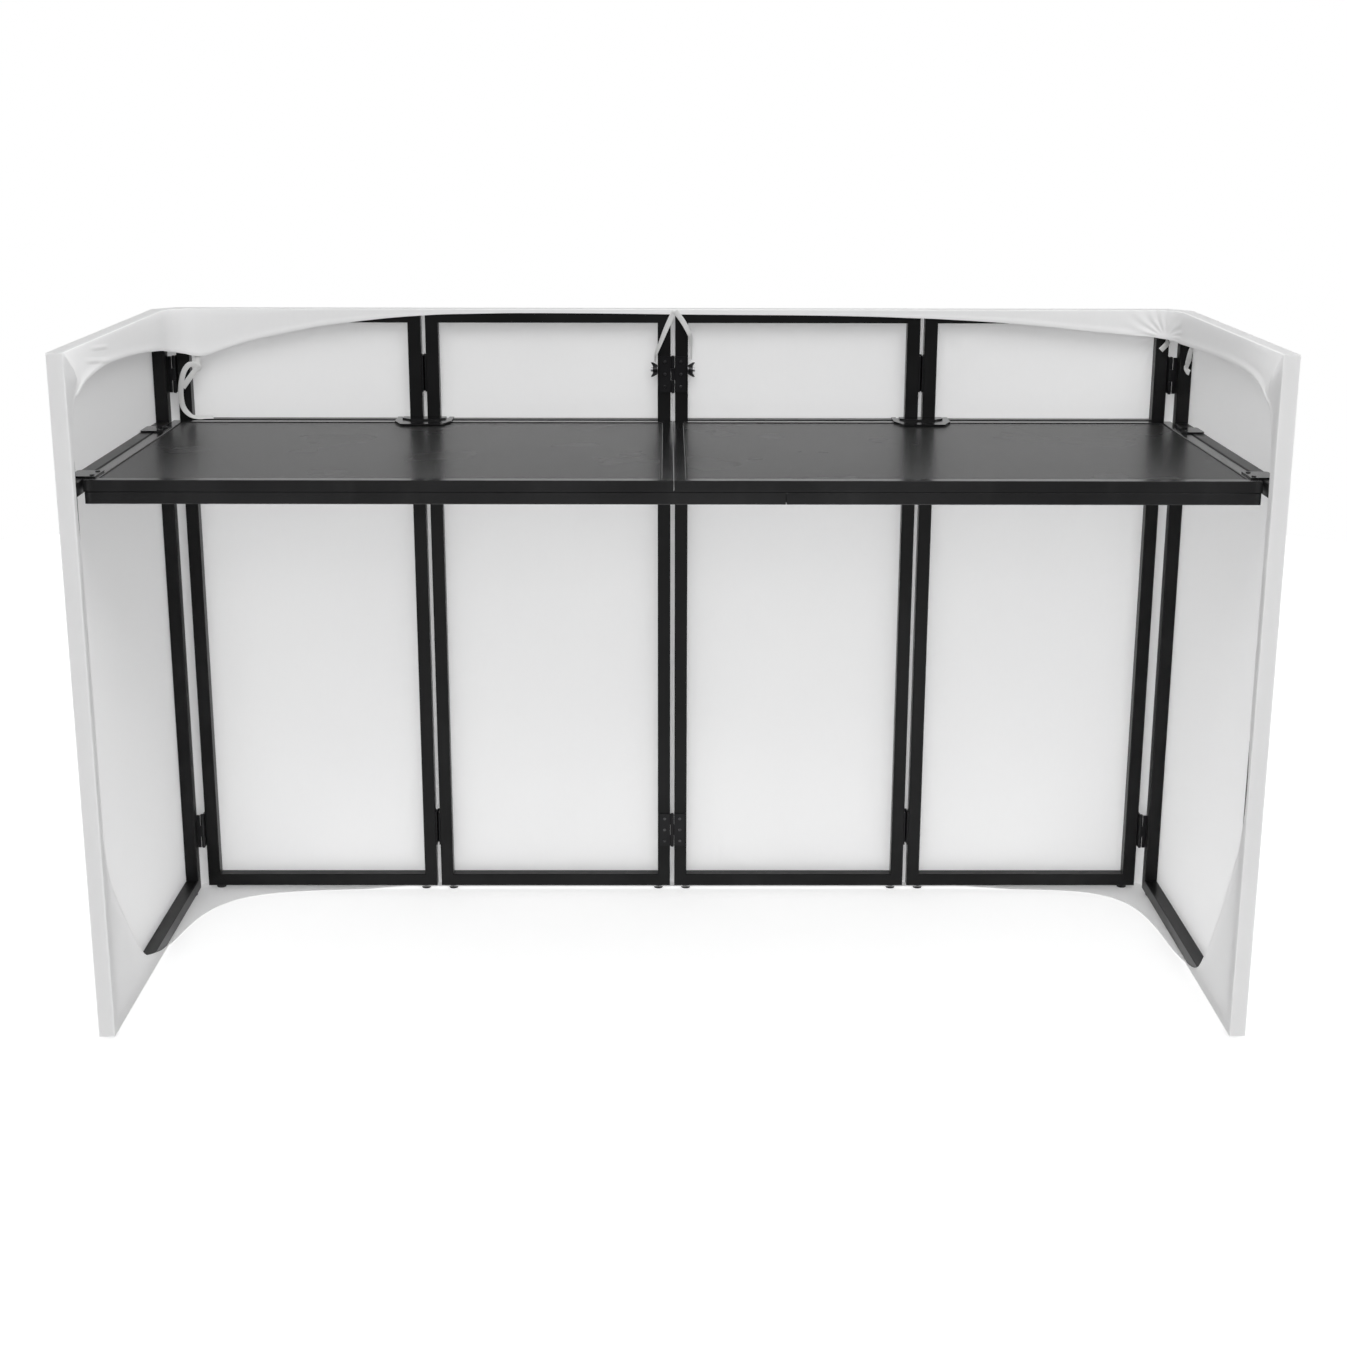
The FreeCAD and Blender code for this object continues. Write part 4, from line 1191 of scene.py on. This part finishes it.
@dataclass
class TieTapes:
    """The white tapes sewn to the hem, tied round the uprights.

    Shares are places across a tape. A wrap is a turn of tape round a knot.
    """

    bench: Bench
    width: float = 0.0105
    thickness: float = 0.0008
    crown: float = 0.0004
    rounding: float = 0.0002
    rows: int = 36
    shares: tuple[float, ...] = (-0.5, -0.25, 0.0, 0.25, 0.5)
    wrap_steps: int = 10
    wrap_rise: float = 0.0014
    wrap_height: float = 0.8

    def ribbon(self, strand: Strand) -> tuple[list[np.ndarray], list[tuple[int, ...]]]:
        """A tape's flat strip.

        Args:
            strand: The tape's run.

        Returns:
            Its points and faces.
        """
        line = smooth_line(strand.line, self.rows)
        along = np.gradient(line, axis=0)
        wide = len(self.shares)
        points, faces = [], []
        for index, (place, ahead) in enumerate(zip(line, along)):
            share = index / (self.rows - 1)
            face = np.array(strand.faces[0]) * (1 - share) + np.array(strand.faces[1]) * share
            across = np.cross(ahead, face)
            across = across / np.linalg.norm(across)
            proud = np.cross(across, ahead)
            proud = proud / np.linalg.norm(proud)
            for k, offset in enumerate(self.shares):
                crown = self.crown * (1.0 - (2.0 * offset) ** 2)
                points.append(place + across * offset * self.width + proud * crown)
                if index < self.rows - 1 and k < wide - 1:
                    a = index * wide + k
                    faces.append((a, a + 1, a + wide + 1, a + wide))
        return points, faces

    def knot(self, middle: Point, radius: float, turns: float) -> Strand:
        """A small round wrap of tape.

        Args:
            middle: Its middle.
            radius: Its radius.
            turns: How many times it goes round.

        Returns:
            The wrap's run.
        """
        x, y, z = middle
        line = []
        for step in range(int(self.wrap_steps * turns) + 1):
            turn = step / self.wrap_steps
            angle = turn * 2.0 * math.pi
            line.append((x + radius * math.cos(angle), y + self.wrap_rise * (turn - 0.5),
                         z + self.wrap_height * radius * math.sin(angle)))
        return Strand(tuple(line))

    def tie(self, name: str, body: str, node: str | None, strands: Sequence[Strand]) -> None:
        """Args:
            name: The piece's name.
            body: The body it rides on.
            node: The CAD node it stands for, if any.
            strands: Its runs of tape.
        """
        points: list[np.ndarray] = []
        faces: list[tuple[int, ...]] = []
        for strand in strands:
            more, quads = self.ribbon(strand)
            faces.extend(tuple(i + len(points) for i in quad) for quad in quads)
            points.extend(p + np.array([0.0, DJ_FACE, 0.0]) for p in more)
        piece = self.bench.mesh(name, points, faces)
        self.bench.apply(piece, "SOLIDIFY", thickness=self.thickness, offset=0.0)
        self.bench.apply(piece, "BEVEL", width=self.rounding, segments=1, limit_method="ANGLE",
                         angle_limit=math.radians(60.0))
        self.bench.smooth(piece, 50.0)
        self.bench.dress(piece, "white_tape")
        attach(piece, body)
        if node:
            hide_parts(node)

    def build(self) -> None:
        """Make every tie."""
        self.tie("center_tie_tape", "center", "center_tie", [
            Strand(((0.003, -0.0035, 1.1955), (-0.012, -0.0045, 1.164), (-0.0285, -0.0045, 1.1235),
                    (-0.0335, 0.000, 1.1110), (-0.0345, 0.008, 1.104), (-0.0350, 0.013, 1.0985)),
                   ((0.0, -1.0, 0.0), (-1.0, -0.2, 0.0))),
            Strand(((0.004, -0.0042, 1.1955), (0.019, -0.0050, 1.176), (0.0310, -0.0045, 1.1540),
                    (0.0345, 0.001, 1.1420), (0.0355, 0.008, 1.125), (0.0360, 0.011, 1.1000)),
                   ((0.0, -1.0, 0.0), (1.0, -0.2, 0.0)))])
        self.tie("left_corner_tie_tape", "wing_left", "left_corner_tie", [
            Strand(((-0.9225, -0.0025, 1.118), (-0.9228, -0.0045, 1.104), (-0.924, -0.0065, 1.0900))),
            self.knot((-0.9245, -0.0085, 1.0865), 0.0042, 1.6),
            Strand(((-0.9250, -0.0085, 1.0880), (-0.9370, -0.0110, 1.0925), (-0.9490, -0.0115, 1.0790),
                    (-0.9560, -0.0115, 1.0550), (-0.9580, -0.0112, 1.0290), (-0.9545, -0.0100, 1.0075),
                    (-0.9430, -0.0060, 0.9925), (-0.9300, 0.0030, 0.9868), (-0.9020, 0.0110, 0.9862)),
                   ((0.0, -1.0, 0.0), (0.0, -0.45, 1.0))),
            Strand(((-0.9240, -0.0100, 1.0850), (-0.9380, -0.0105, 1.0675), (-0.9535, -0.0098, 1.0470)))])
        self.tie("right_corner_tie_tape", "wing_right", "right_corner_tie", [
            Strand(((0.9630, -0.0030, 1.1400), (0.9585, -0.0065, 1.1330), (0.9475, -0.0080, 1.1220)))])
        self.tie("right_side_tie_tape", "side_right", None, [
            Strand(((0.9765, -0.1360, 1.1460), (0.9745, -0.1330, 1.1340), (0.9738, -0.1260, 1.1180)),
                   ((-1.0, -0.3, 0.0), (-0.6, -1.0, 0.0))),
            Strand(((0.9742, -0.1270, 1.1200), (0.9735, -0.1160, 1.1060), (0.9738, -0.1080, 1.1010),
                    (0.9740, -0.1200, 1.0960), (0.9742, -0.1380, 1.0950)),
                   ((-0.6, -1.0, 0.0), (-1.0, 0.2, 0.3)))])


@dataclass
class SmallHardware:
    """Screws, washers, rivets and pin caps.

    A head is given by its radius and height, and a pin line by its X and its Y from the DJ-side faces.
    """

    bench: Bench
    hinge_half: float = 0.035
    screw_head: Plan = (0.0032, 0.0013)
    screw_recess: float = 0.0012
    screw_place: Plan = (0.0155, -0.0025)
    screw_rises: tuple[float, ...] = (-0.024, 0.0, 0.024)
    rivet_head: Plan = (0.0042, 0.0017)
    rivet_x: float = 0.9665
    rivet_z: float = 0.9872
    rivet_half: float = 0.018
    tabs: Plan = (0.140, 0.624)
    cap_head: Plan = (0.0029, 0.0014)
    fold_pin: Plan = (PITCH, 0.0265)
    corner_pin: Plan = (0.969, -0.0095)
    center_pin: Plan = (0.0, -0.0025)
    washer_radius: float = 0.0092
    washer_bore: float = 0.46
    washer_thickness: float = 0.0004
    washer_place: Point = (0.02953, 0.009, 1.081)
    dome: float = 0.7

    def head(self, radius: float, height: float, recess: float = 0.0) -> bpy.types.Object:
        """A domed head on the XY plane, with a round recess if it has one.

        Args:
            radius: Its radius.
            height: Its height.
            recess: The recess's radius, or 0.

        Returns:
            The head.
        """
        bpy.ops.object.select_all(action="DESELECT")
        bpy.ops.mesh.primitive_cylinder_add(
            vertices=20, radius=radius, depth=height, location=(0, 0, height / 2))
        piece = bpy.context.view_layer.objects.active
        self.bench.settle(piece)
        self.edit_top(piece, height)
        bpy.ops.mesh.bevel(offset=height * self.dome, segments=3, affect="EDGES")
        if recess:
            bpy.ops.object.mode_set(mode="OBJECT")
            self.edit_top(piece, height)
            bpy.ops.mesh.inset(thickness=max(0.0002, radius - height * self.dome - recess))
            bpy.ops.mesh.extrude_region_move(TRANSFORM_OT_translate={"value": (0, 0, -height * 0.5)})
        bpy.ops.object.mode_set(mode="OBJECT")
        self.bench.smooth(piece, 35.0)
        return piece

    @staticmethod
    def edit_top(piece: bpy.types.Object, height: float) -> None:
        """Open a head for editing with only its flat top selected.

        Args:
            piece: The head.
            height: Its height.
        """
        bpy.ops.object.mode_set(mode="EDIT")
        bpy.ops.mesh.select_all(action="DESELECT")
        bpy.ops.object.mode_set(mode="OBJECT")
        for face in piece.data.polygons:
            face.select = face.normal.z > 0.99 and face.center.z > height * 0.9
        bpy.ops.object.mode_set(mode="EDIT")

    def ring(self) -> bpy.types.Object:
        """A flat washer on the XY plane.

        Returns:
            The washer.
        """
        bpy.ops.object.select_all(action="DESELECT")
        bpy.ops.mesh.primitive_circle_add(vertices=28, radius=self.washer_radius)
        piece = bpy.context.view_layer.objects.active
        bpy.ops.object.mode_set(mode="EDIT")
        bpy.ops.mesh.select_all(action="SELECT")
        bpy.ops.mesh.extrude_edges_move()
        bpy.ops.transform.resize(value=(self.washer_bore, self.washer_bore, 1.0))
        bpy.ops.object.mode_set(mode="OBJECT")
        self.bench.apply(piece, "SOLIDIFY", thickness=self.washer_thickness, offset=1.0)
        self.bench.smooth(piece, 35.0)
        return piece

    def fix(self, name: str, body: str, slot: str, model: bpy.types.Object,
            places: Sequence[Matrix]) -> None:
        """Copy a fastener to its places and let it ride.

        Args:
            name: The piece's name.
            body: The body it rides on.
            slot: Its finish.
            model: The fastener.
            places: Where it goes.
        """
        piece = self.bench.copies(name, model, places)
        self.bench.dress(piece, slot)
        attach(piece, body)
        log.info("%s: %d placed", name, len(places))

    def build(self) -> None:
        """Make every fastener."""
        to_dj = Matrix.Rotation(math.radians(90.0), 4, "X")
        x, y = self.screw_place
        screws = [Matrix.Translation((side.value * x, DJ_FACE + y, high + rise)) @ to_dj
                  for side in Side for high in HINGE_HEIGHTS for rise in self.screw_rises]
        self.fix("center_hinge_screws", "center", "black_hardware",
                 self.head(*self.screw_head, self.screw_recess), screws)
        for side in Side:
            sign, word = side.value, side.word
            turn = Matrix.Rotation(math.radians(90.0 * sign), 4, "Y")
            x, y, z = self.washer_place
            self.fix(f"{word}_lock_washer", "center", "zinc_steel", self.ring(), [
                Matrix.Translation((sign * x, DJ_FACE + y, z)) @ turn])
            rivets = [Matrix.Translation((sign * self.rivet_x, DJ_FACE - tab + step, self.rivet_z))
                      for tab in self.tabs for step in (-self.rivet_half, self.rivet_half)]
            self.fix(f"{word}_tab_rivets", f"table_{word}", "table_black",
                     self.head(*self.rivet_head), rivets)
            self.cap(f"{word}_fold_pin_caps", "center", sign, self.fold_pin)
            self.cap(f"{word}_corner_pin_caps", f"wing_{word}", sign, self.corner_pin)
        self.cap("center_pin_caps", "center", 1, self.center_pin)

    def cap(self, name: str, body: str, sign: int, pin: Plan) -> None:
        """Cap the pins of one hinge line at both ends.

        Args:
            name: The piece's name.
            body: The body it rides on.
            sign: The side that the line is on.
            pin: The line's distance from the middle, and its place behind the DJ-side faces.
        """
        over = Matrix.Rotation(math.radians(180.0), 4, "X")
        x, y = sign * pin[0], DJ_FACE + pin[1]
        places = []
        for high in HINGE_HEIGHTS:
            places.append(Matrix.Translation((x, y, high + self.hinge_half)))
            places.append(Matrix.Translation((x, y, high - self.hinge_half)) @ over)
        self.fix(name, body, "hinge_black", self.head(*self.cap_head), places)


@dataclass(frozen=True)
class Lamp:
    """One soft light: its place, its aim, its size, its watts and whether glossy surfaces show it."""

    name: str
    place: Point
    aim: Point
    size: Plan
    power: float
    mirrored: bool = False

    def hang(self) -> None:
        """Put the light into the scene."""
        data = bpy.data.lights.new(self.name, "AREA")
        data.shape, data.size, data.size_y, data.energy = "RECTANGLE", *self.size, self.power
        light = bpy.data.objects.new(self.name, data)
        bpy.context.collection.objects.link(light)
        light.location = self.place
        light.visible_camera = False
        light.visible_glossy = self.mirrored
        light.rotation_euler = (Vector(self.aim) - Vector(self.place)).to_track_quat("-Z", "Y").to_euler()


@dataclass
class Studio:
    """The pale floor, soft lights and the camera.

    Focal, axis_u and width count the photograph's pixels, sensor is in millimetres, and angles are in degrees.
    """

    focal: float = 2077.0
    sensor: float = 36.0
    eye: Point = (-0.0127, -3.7139, 1.596)
    pitch: float = 15.54
    yaw: float = 0.34
    roll: float = 0.13
    axis_u: float = 678.0
    width: float = 1347.0
    sky: float = 0.8
    floor_radius: float = 4.6
    lamps: tuple[Lamp, ...] = (
        Lamp("overhead", (0.5, -2.4, 4.2), (0.0, 0.2, 0.9), (4.5, 2.5), 88.0, True),
        Lamp("front", (-0.3, -7.6, 2.6), (0.0, 0.3, 0.7), (4.0, 3.0), 98.0),
        Lamp("behind", (0.0, 4.6, 1.9), (0.0, 0.3, 0.7), (5.0, 3.0), 66.0),
        Lamp("left", (-3.4, 0.6, 0.6), (-1.0, 0.0, 0.5), (1.5, 1.5), 5.0),
        Lamp("right", (3.4, 0.6, 1.3), (1.0, 0.0, 0.8), (1.5, 1.5), 22.0))

    def surroundings(self) -> None:
        """Light the scene softly from above and behind, before a white backdrop."""
        world = bpy.data.worlds.new("studio")
        sky = Sky(world)
        _, ahead, up = sky.axes()
        seen = sky.node("ShaderNodeLightPath", {}, {}, "Is Camera Ray")
        level = (up.between(-0.3, 0.15) * 0.9 + 0.1) * (ahead.between(-0.7, 0.5) * 0.5 + 0.5) * self.sky
        sky.set(Color=(1.0, 1.0, 1.0, 1.0), Strength=seen + (1.0 - seen) * level)
        bpy.context.scene.world = world

    def camera(self) -> None:
        """Set the camera where the photograph was taken from."""
        data = bpy.data.cameras.new("camera")
        data.lens, data.sensor_width = self.sensor * self.focal / self.width, self.sensor
        data.shift_x = (self.width / 2 - self.axis_u) / self.width
        eye = bpy.data.objects.new("camera", data)
        bpy.context.collection.objects.link(eye)
        a, b, c = (math.radians(v) for v in (self.pitch, self.yaw, self.roll))
        ahead = Vector((math.sin(b) * math.cos(a), math.cos(b) * math.cos(a), -math.sin(a)))
        right = Vector((math.cos(b), -math.sin(b), 0.0))
        up = right.cross(ahead)
        turned = math.cos(c) * right + math.sin(c) * up
        upright = -math.sin(c) * right + math.cos(c) * up
        eye.matrix_world = Matrix((
            (turned.x, upright.x, -ahead.x, self.eye[0]), (turned.y, upright.y, -ahead.y, self.eye[1]),
            (turned.z, upright.z, -ahead.z, self.eye[2]), (0.0, 0.0, 0.0, 1.0)))
        bpy.context.scene.camera = eye

    def build(self) -> None:
        """Make the floor, the surroundings, the lights and the camera."""
        bpy.ops.object.select_all(action="DESELECT")
        bpy.ops.mesh.primitive_circle_add(vertices=128, radius=self.floor_radius, fill_type="NGON")
        floor = bpy.context.view_layer.objects.active
        floor.name = "studio_floor"
        floor.data.materials.append(Ground("pale_floor").make())
        self.surroundings()
        bpy.context.scene.view_settings.view_transform = "Standard"
        for lamp in self.lamps:
            lamp.hang()
        self.camera()


def dress_frame(bench: Bench) -> None:
    """Give every CAD node that shows its finish.

    Args:
        bench: The bench that holds the finishes.
    """
    for part in frame["record"]["subparts"]:
        slot = "table_sheet" if part["node"].endswith("_table_top") else part["material_slot"]
        node = frame["nodes"][part["node"]]
        node.data.materials.clear()
        node.data.materials.append(bench.materials[slot])


def main() -> None:
    """Build the booth's looks around the CAD frame."""
    logging.basicConfig(level=logging.INFO, format="%(name)s: %(message)s")
    bench = Bench()
    Studio().build()
    dress_frame(bench)
    TieTapes(bench).build()
    cover = StretchCover(bench)
    cover.build()
    cover.fit()
    SmallHardware(bench).build()


if __name__ == "__main__":
    main()
